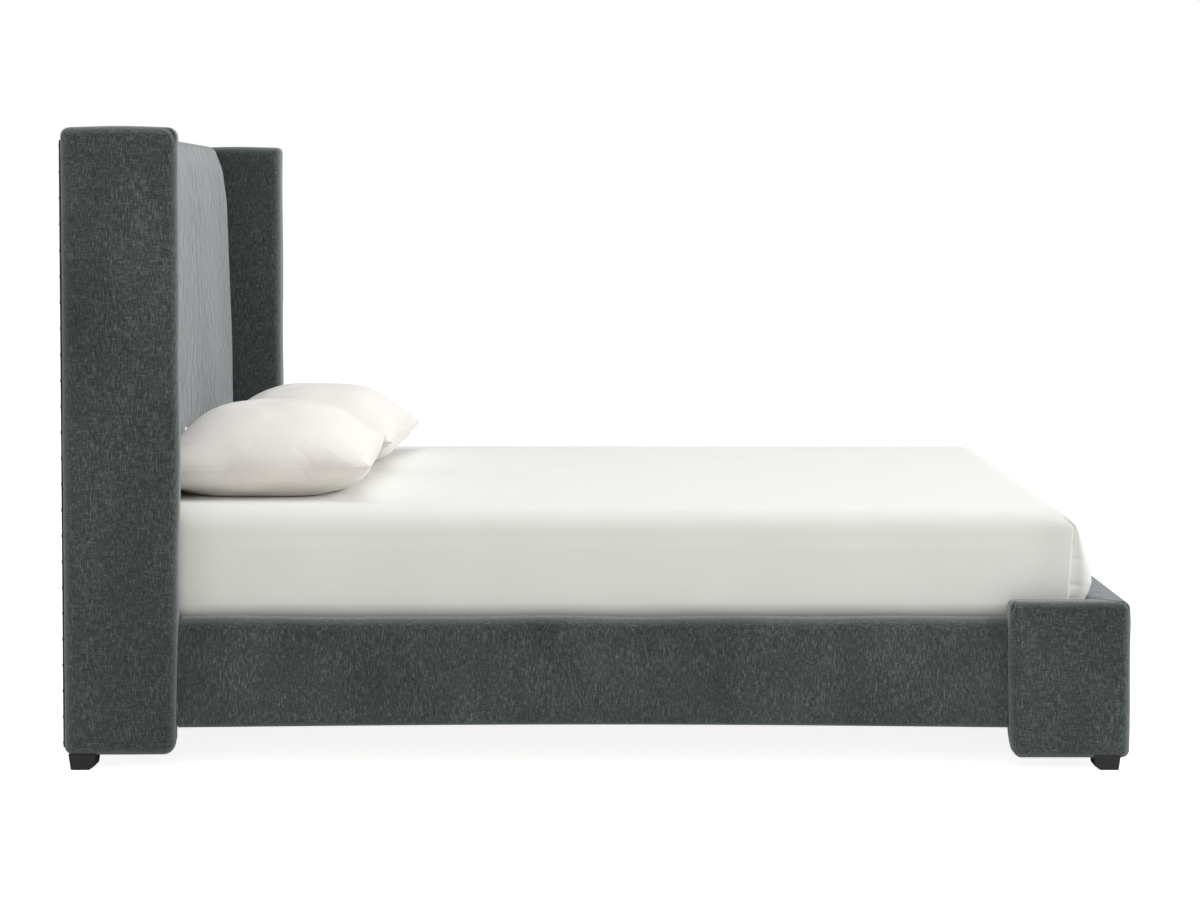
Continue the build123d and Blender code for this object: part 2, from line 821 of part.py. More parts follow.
# Centre legs and their levelling glides
glide_bore_radius = glide_stem_radius + glide_bore_clearance
glide_bore_top_z = glide_base_height + glide_stem_length + glide_travel + glide_bore_spare
leg_names = ("head", "middle", "foot")
for name, leg_x in zip(leg_names, leg_xs):
    with BuildPart() as centre_leg:
        with BuildSketch(Plane.XY.offset(leg_bottom_z)):
            with Locations((leg_x, 0)):
                Rectangle(leg_size, leg_size)
        extrude(amount=beam_bottom_z - leg_bottom_z)
        chamfer(centre_leg.faces().sort_by(Axis.Z)[0].edges(), leg_edge_chamfer)
        with BuildSketch(Plane.XY.offset(leg_bottom_z)):
            with Locations((leg_x, 0)):
                Circle(glide_bore_radius)
        extrude(amount=glide_bore_top_z - leg_bottom_z, mode=Mode.SUBTRACT)
        add(leg_stud_holes, mode=Mode.SUBTRACT)
    finish(centre_leg, f"centre_leg_{name}")

    with BuildPart() as levelling_glide:
        with BuildSketch():
            with Locations((leg_x, 0)):
                Circle(glide_base_radius)
        extrude(amount=glide_base_height)
        chamfer(levelling_glide.edges().filter_by(GeomType.CIRCLE), glide_edge_chamfer)
        with BuildSketch(Plane.XY.offset(glide_base_height)):
            with Locations((leg_x, 0)):
                Circle(glide_stem_radius)
        extrude(amount=glide_stem_length)
    finish(levelling_glide, f"levelling_glide_{name}")

# Corner feet, narrower below and cut back on the side towards the bed's middle
foot_ends = {"head": (head_foot_x, 1), "foot": (end_foot_x, -1)}
for name, (middle_x, inward) in foot_ends.items():
    with BuildPart() as corner_foot:
        with BuildSketch():
            with Locations((middle_x, -wing_middle_y)):
                RectangleRounded(foot_bottom_size, foot_bottom_size, foot_corner_radius)
        with BuildSketch(Plane.XY.offset(foot_height)):
            with Locations((middle_x, -wing_middle_y)):
                RectangleRounded(foot_top_size, foot_top_size, foot_corner_radius)
        loft()
        corner_x = middle_x + inward * foot_bottom_size / 2
        with BuildSketch(Plane.XZ.offset(inner_y)):
            with BuildLine():
                Polyline(
                    (corner_x - inward * foot_chamfer_run, 0),
                    (corner_x + inward * foot_chamfer_run, 0),
                    (corner_x + inward * foot_chamfer_run, 2 * foot_chamfer_rise),
                    close=True,
                )
            make_face()
        extrude(amount=wing_thickness, mode=Mode.SUBTRACT)
        add(foot_stud_holes, mode=Mode.SUBTRACT)
    finish(corner_foot, f"left_{name}_foot")
    with BuildPart() as far_foot:
        mirror(corner_foot.part, about=Plane.XZ)
    finish(far_foot, f"right_{name}_foot")

with BuildPart() as hanger_studs:
    add(foot_studs + leg_studs)
finish(hanger_studs, "hanger_studs")


# Mattress, crowned across its top and slightly full at its sides
def mattress_form(grow):
    """The mattress's form, grown by the thickness of what wraps it."""
    low_z = mattress_bottom_z - grow
    edge_z = mattress_top_z - mattress_crown + grow
    middle_z = (low_z + edge_z) / 2
    full_y = mattress_width / 2 + grow
    edge_y = full_y - mattress_bulge
    with BuildPart(mode=Mode.PRIVATE) as form:
        with BuildSketch(Plane.YZ.offset(mattress_head_x - grow)):
            with BuildLine():
                Line((-edge_y, low_z), (edge_y, low_z))
                ThreePointArc((edge_y, low_z), (full_y, middle_z), (edge_y, edge_z))
                ThreePointArc((edge_y, edge_z), (0, edge_z + mattress_crown), (-edge_y, edge_z))
                ThreePointArc((-edge_y, edge_z), (-full_y, middle_z), (-edge_y, low_z))
            make_face()
        extrude(amount=mattress_length + 2 * grow)
        arcs = form.edges().filter_by(GeomType.CIRCLE)
        fillet(arcs.group_by(SortBy.LENGTH)[0], mattress_corner_radius + grow)
        rims = form.edges()
        fillet(rims.filter_by(lambda rim: rim.center().Z > edge_z - mattress_crown), mattress_top_radius + grow)
        rims = form.edges()
        fillet(rims.filter_by(lambda rim: rim.center().Z < low_z + mattress_crown), mattress_bottom_radius + grow)
    return form.part


with BuildPart() as mattress:
    add(mattress_form(0))
finish(mattress, "mattress")

# The sheet wraps the top and sides and is tucked under all round
sheet_window = block(
    (mattress_head_x + sheet_tuck, mattress_foot_x - sheet_tuck),
    (-mattress_width / 2 + sheet_tuck, mattress_width / 2 - sheet_tuck),
    (slat_top_z - sheet_thickness, mattress_bottom_z + sheet_thickness),
)
with BuildPart() as mattress_sheet:
    add(mattress_form(soft_gap + sheet_thickness))
    add(mattress_form(soft_gap), mode=Mode.SUBTRACT)
    add(sheet_window, mode=Mode.SUBTRACT)
finish(mattress_sheet, "mattress_sheet")


# Pillows: a flat seat, a seam with drawn-in sides and pointed corners, and a full crown
def pillow_outline(height, size_share, draw_share, corner_share):
    """One level outline of the pillow, its four sides drawn in or full as arcs."""
    half_x = size_share * pillow_length / 2
    half_y = size_share * pillow_width / 2
    draw = draw_share * pillow_draw
    with BuildSketch(Plane.XY.offset(height), mode=Mode.PRIVATE) as outline:
        with BuildLine():
            ThreePointArc((-half_x, -half_y), (0, draw - half_y), (half_x, -half_y))
            ThreePointArc((half_x, -half_y), (half_x - draw, 0), (half_x, half_y))
            ThreePointArc((half_x, half_y), (0, half_y - draw), (-half_x, half_y))
            ThreePointArc((-half_x, half_y), (draw - half_x, 0), (-half_x, -half_y))
        make_face()
        fillet(outline.vertices(), corner_share * half_x)
    return outline.sketch


seam_z = mattress_top_z + sheet_thickness + 2 * soft_gap + pillow_drop
upper_levels = [
    pillow_outline(seam_z + height * pillow_rise, size, draw, corner)
    for height, size, draw, corner in zip(
        upper_height_shares, upper_size_shares, upper_draw_shares, upper_corner_shares
    )
]
lower_levels = [
    pillow_outline(seam_z - height * pillow_drop, size, draw, corner)
    for height, size, draw, corner in zip(
        lower_height_shares, lower_size_shares, lower_draw_shares, lower_corner_shares
    )
]
pillow_middle_x = headboard_front_x + pillow_headboard_gap + pillow_length / 2
with BuildPart() as pillow:
    loft(upper_levels)
    loft(lower_levels)
pillow_places = {
    "left_pillow": (pillow_middle_x, left_pillow_place, 0),
    "right_pillow": (pillow_middle_x + right_pillow_shift, right_pillow_place, 0),
}
for name, place in pillow_places.items():
    with BuildPart() as placed_pillow:
        add(pillow.part.moved(Location(place)))
    finish(placed_pillow, name)
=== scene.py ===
# %% [markdown]
# # A wingback bed in grey velvet
# This lesson dresses a measured bed in its upholstery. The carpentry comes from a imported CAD
# model: posts, boards, rails, slats, legs and bolts, each already at its place in metres. What
# a camera sees of a bed is mostly soft, so this script replaces the plain covers with padded,
# rounded velvet, lays a real sheet with folded corners over the mattress, and fills two pillows.

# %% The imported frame
import math

import bmesh
import bpy
import numpy as np
from mathutils import Euler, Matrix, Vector


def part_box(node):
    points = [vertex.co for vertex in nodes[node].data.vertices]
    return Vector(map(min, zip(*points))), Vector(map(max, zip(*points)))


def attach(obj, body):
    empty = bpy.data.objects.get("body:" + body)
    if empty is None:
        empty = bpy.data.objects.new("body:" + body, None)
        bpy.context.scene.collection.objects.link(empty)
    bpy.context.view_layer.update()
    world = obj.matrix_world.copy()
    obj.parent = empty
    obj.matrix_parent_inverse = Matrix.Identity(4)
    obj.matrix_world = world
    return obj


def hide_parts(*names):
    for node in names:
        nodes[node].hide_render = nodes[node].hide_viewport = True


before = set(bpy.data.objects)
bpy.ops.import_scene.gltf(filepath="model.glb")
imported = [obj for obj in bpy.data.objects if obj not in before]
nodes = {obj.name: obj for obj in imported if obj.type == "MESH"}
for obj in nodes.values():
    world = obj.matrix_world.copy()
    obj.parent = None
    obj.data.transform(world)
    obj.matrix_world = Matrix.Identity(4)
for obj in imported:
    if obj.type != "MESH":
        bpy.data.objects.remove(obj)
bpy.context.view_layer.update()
scene = bpy.context.scene

# %% [markdown]
# ## The camera
# The photograph was taken from the side, about five and a half metres away, a little above the
# headboard's middle. Lines that run away from us meet far above the picture's centre, so the
# real camera used a shifted lens. Most of that rise is made here with a shift and the rest with
# a slight tilt, which keeps the bed whole when the same camera is moved round it.

# %% Camera
PICTURE_WIDE = 1200
PICTURE_HIGH = 900
FOCAL_PIXELS = 2620
VANISHING_POINT = (625, 218)
SENSOR = 36
TILT = math.radians(2.1)
CAMERA_PLACE = (0.057, -6.276, 1.157)


def add_object(name, data):
    """A new object in the scene, at the origin."""
    thing = bpy.data.objects.new(name, data)
    scene.collection.objects.link(thing)
    return thing


camera_data = bpy.data.cameras.new("camera")
camera_data.sensor_width = SENSOR
camera_data.lens = FOCAL_PIXELS / PICTURE_WIDE * SENSOR
camera_data.shift_x = (PICTURE_WIDE / 2 - VANISHING_POINT[0]) / PICTURE_WIDE
horizon_rise = PICTURE_HIGH / 2 - VANISHING_POINT[1]
camera_data.shift_y = -(horizon_rise - FOCAL_PIXELS * math.tan(TILT)) / PICTURE_WIDE
camera = add_object("camera", camera_data)
camera.location = CAMERA_PLACE
camera.rotation_euler = Euler((math.pi / 2 - TILT, 0, 0))
scene.camera = camera
scene.view_settings.view_transform = "Standard"
print("lens", round(camera_data.lens, 1), "mm, shift", round(camera_data.shift_y, 3))

# %% [markdown]
# ## Small helpers for node trees
# Every finish below is a tree of shader nodes. Writing each node and link out in full is slow
# to read, so one helper adds a node, sets its inputs and links whatever arrives as a socket.
# Short ones on top of it stand for the nodes that come back again and again.


# %% Node helpers
def paint(red, green, blue):
    """A screen colour from 0 to 255 as the linear colour that a shader wants."""
    shares = [channel / 255 for channel in (red, green, blue)]
    return (*[s / 12.92 if s <= 0.04045 else ((s + 0.055) / 1.055) ** 2.4 for s in shares], 1.0)


def add_node(tree, kind, inputs=None, **settings):
    """Add a node, set its options, then fill or link its inputs."""
    node = tree.nodes.new(kind)
    for option, value in settings.items():
        setattr(node, option, value)
    for name, value in (inputs or {}).items():
        if isinstance(value, bpy.types.NodeSocket):
            tree.links.new(value, node.inputs[name])
        else:
            node.inputs[name].default_value = value
    return node


def math_node(tree, operation, *values, **settings):
    """The result of a calculation with numbers."""
    inputs = dict(enumerate(values))
    return add_node(tree, "ShaderNodeMath", inputs, operation=operation, **settings).outputs[0]


def vector_node(tree, operation, first, second):
    """The result of a calculation with vectors, or with a vector and its scale."""
    inputs = {0: first, "Scale" if operation == "SCALE" else 1: second}
    return add_node(tree, "ShaderNodeVectorMath", inputs, operation=operation).outputs[0]


def mix_colors(tree, share, first, second):
    """A colour between two others."""
    return add_node(tree, "ShaderNodeMix", {0: share, 6: first, 7: second}, data_type="RGBA").outputs[2]


def map_range(tree, value, from_min, from_max, to_min=0.0, to_max=1.0):
    """A value moved from one range to another and kept inside it."""
    limits = {"From Min": from_min, "From Max": from_max, "To Min": to_min, "To Max": to_max}
    return add_node(tree, "ShaderNodeMapRange", {"Value": value, **limits}).outputs["Result"]


def noise(tree, vector, scale, detail, **more):
    """The outputs of a noise."""
    inputs = {"Vector": vector, "Scale": scale, "Detail": detail, **more}
    return add_node(tree, "ShaderNodeTexNoise", inputs).outputs


def one_axis(tree, vector, axis):
    """One of the three numbers in a vector."""
    return add_node(tree, "ShaderNodeSeparateXYZ", {0: vector}).outputs[axis]


print("node helpers ready")

# %% [markdown]
# ## Groups and materials
# A finish that several materials share is a node group, built once and given other values in
# each. Its inputs have names and defaults, so it reads like a function. A material keeps its
# shader and its bump to itself, and numbers that are the same all over the surface are written
# on the shader's own sockets, because an exported model would lose them if they were linked.


# %% Group and material helpers
def socket_kind(value):
    """The kind of socket that holds a value. A word is the kind itself."""
    if isinstance(value, str):
        return value
    if isinstance(value, tuple):
        return "Vector" if len(value) == 3 else "Color"
    return "Int" if isinstance(value, int) else "Float"


def new_group(name, inputs, outputs, kind="ShaderNodeTree"):
    """A node group whose inputs are named with their defaults, or with their kinds."""
    group = bpy.data.node_groups.new(name, kind)
    for way, sockets in (("INPUT", inputs), ("OUTPUT", outputs)):
        for label, value in sockets.items():
            socket_type = "NodeSocket" + socket_kind(value)
            socket = group.interface.new_socket(name=label, in_out=way, socket_type=socket_type)
            if not isinstance(value, str):
                socket.default_value = value
    entry, leave = group.nodes.new("NodeGroupInput"), group.nodes.new("NodeGroupOutput")
    return group, entry.outputs, leave.inputs


def use_group(tree, group, inputs):
    """Place a shader group in a tree."""
    return add_node(tree, "ShaderNodeGroup", inputs, node_tree=group).outputs


def new_material(name, roughness, bump_strength, bump_distance, constants=None):
    """A material whose constants sit on the shader itself, with a place reader and a bump."""
    material = bpy.data.materials.new(name)
    material.use_nodes = True
    tree = material.node_tree
    shader = tree.nodes["Principled BSDF"]
    shader.inputs["Roughness"].default_value = roughness
    for label, value in (constants or {}).items():
        shader.inputs[label].default_value = value
    place = add_node(tree, "ShaderNodeTexCoord").outputs["Object"]
    bump = add_node(tree, "ShaderNodeBump", {"Strength": bump_strength, "Distance": bump_distance})
    bump.name = "Relief"
    tree.links.new(bump.outputs["Normal"], shader.inputs["Normal"])
    return material, tree, place


def connect(material, color, height):
    """Lead a colour to a material's shader and a height to its bump."""
    tree = material.node_tree
    tree.links.new(color, tree.nodes["Principled BSDF"].inputs["Base Color"])
    tree.links.new(height, tree.nodes["Relief"].inputs["Height"])
    return material


def made_of(name, group, values, *surface):
    """A material that shows one group's colour and height."""
    material, tree, place = new_material(name, *surface)
    shown = use_group(tree, group, {"Vector": place, **values})
    return connect(material, shown["Color"], shown["Height"])


print("group and material helpers ready")

# %% [markdown]
# ## Thread streaks
# Woven cloth shows its threads as short streaks: long in the thread's direction, hair-thin
# across it. Noise gives that when the place it reads is stretched first, so one group takes the
# stretch as three scales and gives back a mask of streaks. Velvet uses it for its slubs, wood
# for its grain and the straps for their ribs.

# %% Streaks group
streaks, given, result = new_group(
    "thread_streaks",
    {"Vector": "Vector", "Thread Scale": (300.0, 300.0, 40.0), "Low": 0.45, "High": 0.75},
    {"Mask": "Float"},
)
stretched = vector_node(streaks, "MULTIPLY", given["Vector"], given["Thread Scale"])
thread_noise = noise(streaks, stretched, 1.0, 1.0)["Fac"]
streaks.links.new(map_range(streaks, thread_noise, given["Low"], given["High"]), result["Mask"])


def threads(tree, vector, scale, low, high):
    """A mask of streaks, from 0 below the low limit of the noise to 1 above the high one."""
    inputs = {"Vector": vector, "Thread Scale": scale, "Low": low, "High": high}
    return use_group(tree, streaks, inputs)["Mask"]


print("group", streaks.name)

# %% [markdown]
# ## Slub velvet
# The cover is a short velvet woven from uneven yarn. Seen straight on it is a dark green grey
# crossed by pale slubs, upright and level. Seen along its surface the pile catches light and
# turns silver, which the shader's sheen gives, and a rolled edge is paler still, which a painted
# highlight gives: a pale colour mixed in by the angle of view. The slubs and a slow mottle where
# the pile has been brushed go into the colour and the bump. The inner faces of the wings are
# darkened with painted shade.

# %% Velvet
WARP_SCALE = (720.0, 720.0, 82.0)
WEFT_SCALE = (90.0, 90.0, 720.0)
PAINTED_SHADE_SPAN = (0.772, 0.792)

velvet_cloth, given, result = new_group(
    "slub_velvet",
    {
        "Vector": "Vector",
        "Ground": paint(56, 62, 61),
        "Fibre": paint(142, 151, 149),
        "Warp Amount": 0.62,
        "Weft Amount": 0.42,
        "Brush Scale": 24.0,
        "Brush Stretch": (1.0, 1.0, 0.5),
        "Mottle": 0.3,
        "Brushed Height": 2.4,
        "Painted Inner Shade": 0.0,
    },
    {"Color": "Color", "Height": "Float"},
)
tree = velvet_cloth
warp = threads(tree, given["Vector"], WARP_SCALE, 0.49, 0.84)
weft = threads(tree, given["Vector"], WEFT_SCALE, 0.51, 0.86)
warp_part = math_node(tree, "MULTIPLY", warp, given["Warp Amount"])
slubs = math_node(tree, "MULTIPLY_ADD", weft, given["Weft Amount"], warp_part, use_clamp=True)
upright = vector_node(tree, "MULTIPLY", given["Vector"], given["Brush Stretch"])
brush_noise = noise(tree, upright, given["Brush Scale"], 2.0)["Fac"]
brushed = map_range(tree, brush_noise, 0.3, 0.7, -0.5, 0.5)
mottle = math_node(tree, "MULTIPLY_ADD", brushed, given["Mottle"], 1.0)
# Painted shade: the colour is darkened on the inner faces of the wings by a given share, fading out over
# a span of the front face.
off_middle = math_node(tree, "ABSOLUTE", one_axis(tree, given["Vector"], "Y"))
painted_shade_mask = map_range(tree, off_middle, *PAINTED_SHADE_SPAN, -1.0, 0.0)
painted_shade_factor = math_node(tree, "MULTIPLY_ADD", painted_shade_mask, given["Painted Inner Shade"], 1.0)
mottle_and_painted_shade = math_node(tree, "MULTIPLY", mottle, painted_shade_factor)
yarn = mix_colors(tree, slubs, given["Ground"], given["Fibre"])
tree.links.new(vector_node(tree, "SCALE", yarn, mottle_and_painted_shade), result["Color"])
pile_height = math_node(tree, "MULTIPLY_ADD", brushed, given["Brushed Height"], slubs)
tree.links.new(pile_height, result["Height"])
print("group", velvet_cloth.name)

# %% [markdown]
# The same cloth looks different where its pile lies another way. On the headboard it is brushed
# upwards and shows small upright patches, and its ground and fibre are painted lighter and bluer,
# a painted light for the silver sheen that the panel shows along its face. On the wings and rails
# the patches are wide and soft. How strongly the pile shines belongs to the shader itself, so each
# lie of the pile is a material of its own, with the same group inside.

# %% Velvet materials
PAINTED_SHEEN_COLOR = paint(134, 141, 142)


def velvet(name, sheen_weight, sheen_tint, painted_sheen_strength, pile):
    """The velvet as it looks where its pile lies one way."""
    constants = {
        "Sheen Weight": sheen_weight,
        "Sheen Roughness": 0.40,
        "Sheen Tint": sheen_tint,
        "Specular IOR Level": 0.15,
    }
    material, tree, place = new_material(name, 0.9, 0.6, 0.0012, constants)
    cloth = use_group(tree, velvet_cloth, {"Vector": place, **pile})
    # Painted highlight: a pale colour is mixed into the colour by the angle of view, most where the
    # surface turns away, standing in for the pile's sheen on rolled edges.
    turned = add_node(tree, "ShaderNodeLayerWeight", {"Blend": 0.5}).outputs["Facing"]
    towards = math_node(tree, "MULTIPLY_ADD", turned, -0.6, 1.0)
    slanting = math_node(tree, "MULTIPLY", turned, towards)
    edge = math_node(tree, "MULTIPLY", slanting, painted_sheen_strength)
    return connect(material, mix_colors(tree, edge, cloth["Color"], PAINTED_SHEEN_COLOR), cloth["Height"])


# The panel's pile: brushed upright patches, and a ground and fibre painted lighter and bluer as painted
# light.
BRUSHED_UP_AND_PAINTED_LIGHTER = {
    "Ground": paint(60, 66, 72),
    "Fibre": paint(150, 160, 170),
    "Brush Scale": 42.0,
    "Brush Stretch": (1.0, 1.0, 0.65),
    "Mottle": 0.95,
    "Brushed Height": 3.0,
}
# The wings' pile also carries painted shade on their inner faces.
WING_PILE = {"Brush Scale": 4.5, "Mottle": 0.46, "Brushed Height": 1.8, "Painted Inner Shade": 0.34}
LOW_PILE = {"Brush Scale": 8.0, "Mottle": 0.46, "Brushed Height": 2.4}
panel_velvet = velvet("velvet_on_headboard", 1.0, (0.96, 0.985, 1.0, 1), 0.0, BRUSHED_UP_AND_PAINTED_LIGHTER)
wing_velvet = velvet("velvet_on_wings", 0.72, (0.88, 0.91, 0.94, 1), 1.0, WING_PILE)
low_velvet = velvet("velvet_on_rails", 0.54, (0.84, 0.88, 0.92, 1), 1.1, LOW_PILE)
print("velvets", panel_velvet.name, wing_velvet.name, low_velvet.name)

# %% [markdown]
# ## Bed linen
# Sheet and pillowcases are plain white cotton. Up close there is a fine even weave, further off
# only soft creases that ironing left. One group gives both as a height, and the creases also as a
# faint painted shade, and the pillowcases are a little warmer than the sheet.

# %% Cotton
WEAVE_UP = (1500.0, 1500.0, 260.0)
WEAVE_LEVEL = (260.0, 1500.0, 1500.0)
WEAVE_HEIGHT = 0.02

cotton_cloth, given, result = new_group(
    "plain_cotton",
    {
        "Vector": "Vector",
        "Cloth": (0.8, 0.8, 0.8, 1.0),
        "Shade": (0.7, 0.7, 0.7, 1.0),
        "Crease Scale": 9.0,
        "Crease Height": 1.0,
    },
    {"Color": "Color", "Height": "Float"},
)
tree = cotton_cloth
weave_up = threads(tree, given["Vector"], WEAVE_UP, 0.3, 0.7)
weave_level = threads(tree, given["Vector"], WEAVE_LEVEL, 0.3, 0.7)
weave = math_node(tree, "ADD", weave_up, weave_level)
crease_form = {"Roughness": 0.55, "Distortion": 0.6}
creases = noise(tree, given["Vector"], given["Crease Scale"], 3.0, **crease_form)["Fac"]
crease_height = math_node(tree, "MULTIPLY", creases, given["Crease Height"])
cotton_height = math_node(tree, "MULTIPLY_ADD", weave, WEAVE_HEIGHT, crease_height)
# Painted shade: the colour turns towards the Shade colour where the crease noise is high.
tree.links.new(mix_colors(tree, creases, given["Cloth"], given["Shade"]), result["Color"])
tree.links.new(cotton_height, result["Height"])


def cotton(name, cloth, shade, crease_scale, crease_height):
    """A cotton material of one tint."""
    values = {
        "Cloth": cloth,
        "Shade": shade,
        "Crease Scale": crease_scale,
        "Crease Height": crease_height,
    }
    constants = {"Sheen Weight": 0.15, "Sheen Roughness": 0.5, "Specular IOR Level": 0.25}
    return made_of(name, cotton_cloth, values, 0.85, 0.5, 0.004, constants)


sheet_cotton = cotton("sheet_cotton", paint(243, 243, 240), paint(238, 238, 234), 7.0, 0.6)
pillow_cotton = cotton("pillow_cotton", paint(244, 240, 235), paint(238, 233, 227), 11.0, 0.8)
ticking = cotton("mattress_ticking", paint(232, 230, 224), paint(214, 211, 203), 40.0, 0.3)
print("cottons", sheet_cotton.name, pillow_cotton.name, ticking.name)

# %% [markdown]
# ## Timber
# Nobody paints the inside of a bed. Its ledgers, posts and slats are bare pine, and its boards
# plywood. Grain is a streak noise bent a little by a slower noise, and it must run along each
# piece, so there is one material for each direction in which a piece lies.

# %% Wood
WANDER = 0.03

grain, given, result = new_group(
    "wood_grain",
    {
        "Vector": "Vector",
        "Early": (0.6, 0.4, 0.2, 1.0),
        "Late": (0.4, 0.2, 0.1, 1.0),
        "Stretch": (5.0, 90.0, 90.0),
    },
    {"Color": "Color", "Height": "Float"},
)
wander = vector_node(grain, "SCALE", noise(grain, given["Vector"], 6.0, 2.0)["Color"], WANDER)
bent = vector_node(grain, "ADD", given["Vector"], wander)
rings = threads(grain, bent, given["Stretch"], 0.35, 0.65)
grain.links.new(mix_colors(grain, rings, given["Early"], given["Late"]), result["Color"])
grain.links.new(rings, result["Height"])


def timber(name, early, late, stretch):
    """A wood material whose grain runs along the axis with the smallest stretch."""
    return made_of(name, grain, {"Early": early, "Late": late, "Stretch": stretch}, 0.6, 0.25, 0.0006)


PINE = (paint(214, 184, 140), paint(178, 138, 92))
PLY = (paint(202, 172, 130), paint(176, 142, 98))
pine_lengthwise = timber("pine_lengthwise", *PINE, (5.0, 90.0, 90.0))
pine_crosswise = timber("pine_crosswise", *PINE, (90.0, 5.0, 90.0))
pine_upright = timber("pine_upright", *PINE, (90.0, 90.0, 5.0))
plywood = timber("plywood", *PLY, (14.0, 14.0, 120.0))
print("timber materials: 4")

# %% [markdown]
# ## Metal, plastic and backing cloth
# The bolts and plates are zinc plated, the feet and glides black plastic, and a black backing
# closes the headboard behind. Each has a small irregularity of its own: cloudy plating, a fine
# moulded grain with scuffs near the floor, and matted fibres.

# %% Hard materials and backings
SCUFFED_BELOW = 0.009

zinc, tree, place = new_material("zinc_plate", 0.4, 0.15, 0.0003, {"Metallic": 1.0})
cloud = noise(tree, place, 260.0, 3.0)["Fac"]
cloud_rough = map_range(tree, cloud, 0.0, 1.0, 0.28, 0.5)
tree.links.new(cloud_rough, tree.nodes["Principled BSDF"].inputs["Roughness"])
connect(zinc, mix_colors(tree, cloud, paint(176, 178, 176), paint(206, 206, 200)), cloud)

black_plastic, tree, place = new_material("black_plastic", 0.5, 0.3, 0.0003)
pebble = noise(tree, place, 900.0, 2.0)["Fac"]
near_floor = map_range(tree, one_axis(tree, place, "Z"), 0.0, SCUFFED_BELOW, 1.0, 0.0)
scuffs = threads(tree, place, (120.0, 120.0, 500.0), 0.5, 0.7)
worn = math_node(tree, "MULTIPLY", near_floor, scuffs)
connect(black_plastic, mix_colors(tree, worn, paint(27, 28, 27), paint(80, 80, 78)), pebble)


def matted(name, ground, fibre, thread_scale, roughness):
    """A plain fibrous material: felted backing, webbing or foam."""
    material, tree, place = new_material(name, roughness, 0.5, 0.0008)
    fibres = threads(tree, place, thread_scale, 0.4, 0.7)
    return connect(material, mix_colors(tree, fibres, ground, fibre), fibres)


backing = matted("black_backing", paint(38, 39, 40), paint(58, 59, 60), (260.0, 520.0, 330.0), 0.95)
webbing = matted("webbing", paint(206, 204, 196), paint(178, 176, 168), (900.0, 120.0, 900.0), 0.9)
foam = matted("foam", paint(232, 222, 188), paint(214, 202, 164), (400.0, 400.0, 400.0), 1.0)
print("hard materials and backings: 5")

# %% [markdown]
# ## Finishes for the carpentry
# The CAD nodes keep their shapes and only receive materials. A table of name endings says which
# finish each node gets, and the first row with an ending that fits wins.

# %% Materials on CAD nodes
NODE_FINISHES = (
    (zinc, ("_bolts", "_screws", "_studs", "_plates", "_hangers")),
    (pine_upright, ("_post", "centre_leg_head", "centre_leg_middle", "centre_leg_foot")),
    (pine_crosswise, ("_top_rail", "_middle_rail", "_bottom_rail", "_cleat", "slats")),
    (pine_lengthwise, ("_ledger", "centre_beam", "rail_board")),
    (plywood, ("_board", "_deck")),
    (backing, ("back_panel",)),
    (webbing, ("slat_straps",)),
    (foam, ("_foam",)),
    (black_plastic, ("_foot", "glide_head", "glide_middle")),
    (wing_velvet, ("_cover",)),
    (ticking, ("mattress",)),
    (sheet_cotton, ("mattress_sheet",)),
    (pillow_cotton, ("_pillow",)),
)
for name, node in nodes.items():
    finish = next(material for material, endings in NODE_FINISHES if name.endswith(endings))
    node.data.materials.clear()
    node.data.materials.append(finish)
print("finished", len(nodes), "CAD nodes")

# %% [markdown]
# ## Building padded forms
# Foam under a taut cover has flat faces, soft edges and full corners. Each padded piece starts
# as the skin of a block of cells, with narrow cells near its edges. A distance function
# describes the rounded form, and every point of the skin is then moved straight onto it. The
# result is an even mesh of four-sided faces, closed and without poles.

# %% Skins of cells
NARROW = tuple(step / 1000 for step in (1.5, 3, 5, 7.5, 10.5, 14, 18, 23, 30))


def places_between(low, high, coarse, near_low=(), near_high=()):
    """Grid places from low to high, with narrow steps near the ends and even ones between."""
    lower = [low + step for step in near_low]
    upper = [high - step for step in near_high]
    start = lower[-1] if lower else low
    end = upper[-1] if upper else high
    count = max(1, round((end - start) / coarse))
    middle = np.linspace(start, end, count + 1)
    return np.unique(np.round(np.concatenate([[low], lower, middle, upper, [high]]), 6))


def cell_skin(xs, ys, zs, filled=None):
    """Points and outward faces of the skin round the filled cells of a grid, or round all."""
    shape = (len(xs), len(ys), len(zs))
    if filled is None:
        filled = np.ones([count - 1 for count in shape], bool)
    walls = np.pad(filled, 1)
    unit = np.eye(3, dtype=int)
    quads = []
    for axis in range(3):
        second, third = (axis + 1) % 3, (axis + 2) % 3
        for side in (0, 1):
            neighbour = np.roll(walls, 1 if side == 0 else -1, axis)
            cells = np.argwhere(walls & ~neighbour) - 1
            corner = cells + unit[axis] * side
            around = [0 * unit[0], unit[third], unit[second] + unit[third], unit[second]]
            if side:
                around = around[::-1]
            quads.append(np.stack([corner + step for step in around], 1))
    flat = np.ravel_multi_index(np.concatenate(quads).reshape(-1, 3).T, shape)
    used, faces = np.unique(flat, return_inverse=True)
    i, j, k = np.unravel_index(used, shape)
    return np.stack([xs[i], ys[j], zs[k]], 1), faces.reshape(-1, 4)


def box_skin(low, high, *axes):
    """The skin of a whole box. Each axis has its even step and the narrow ones at its ends."""
    return cell_skin(*[places_between(*limits, *steps) for *limits, steps in zip(low, high, axes)])


print("steps at an edge:", [round(step * 1000, 1) for step in NARROW], "mm")

# %% [markdown]
# The form itself starts as a closed outline with a radius at each corner: the side view of a
# wing, the section of a rail or the plan of the mattress. An arc at each corner does what a
# maker does when a board's edges are eased before the foam goes on.


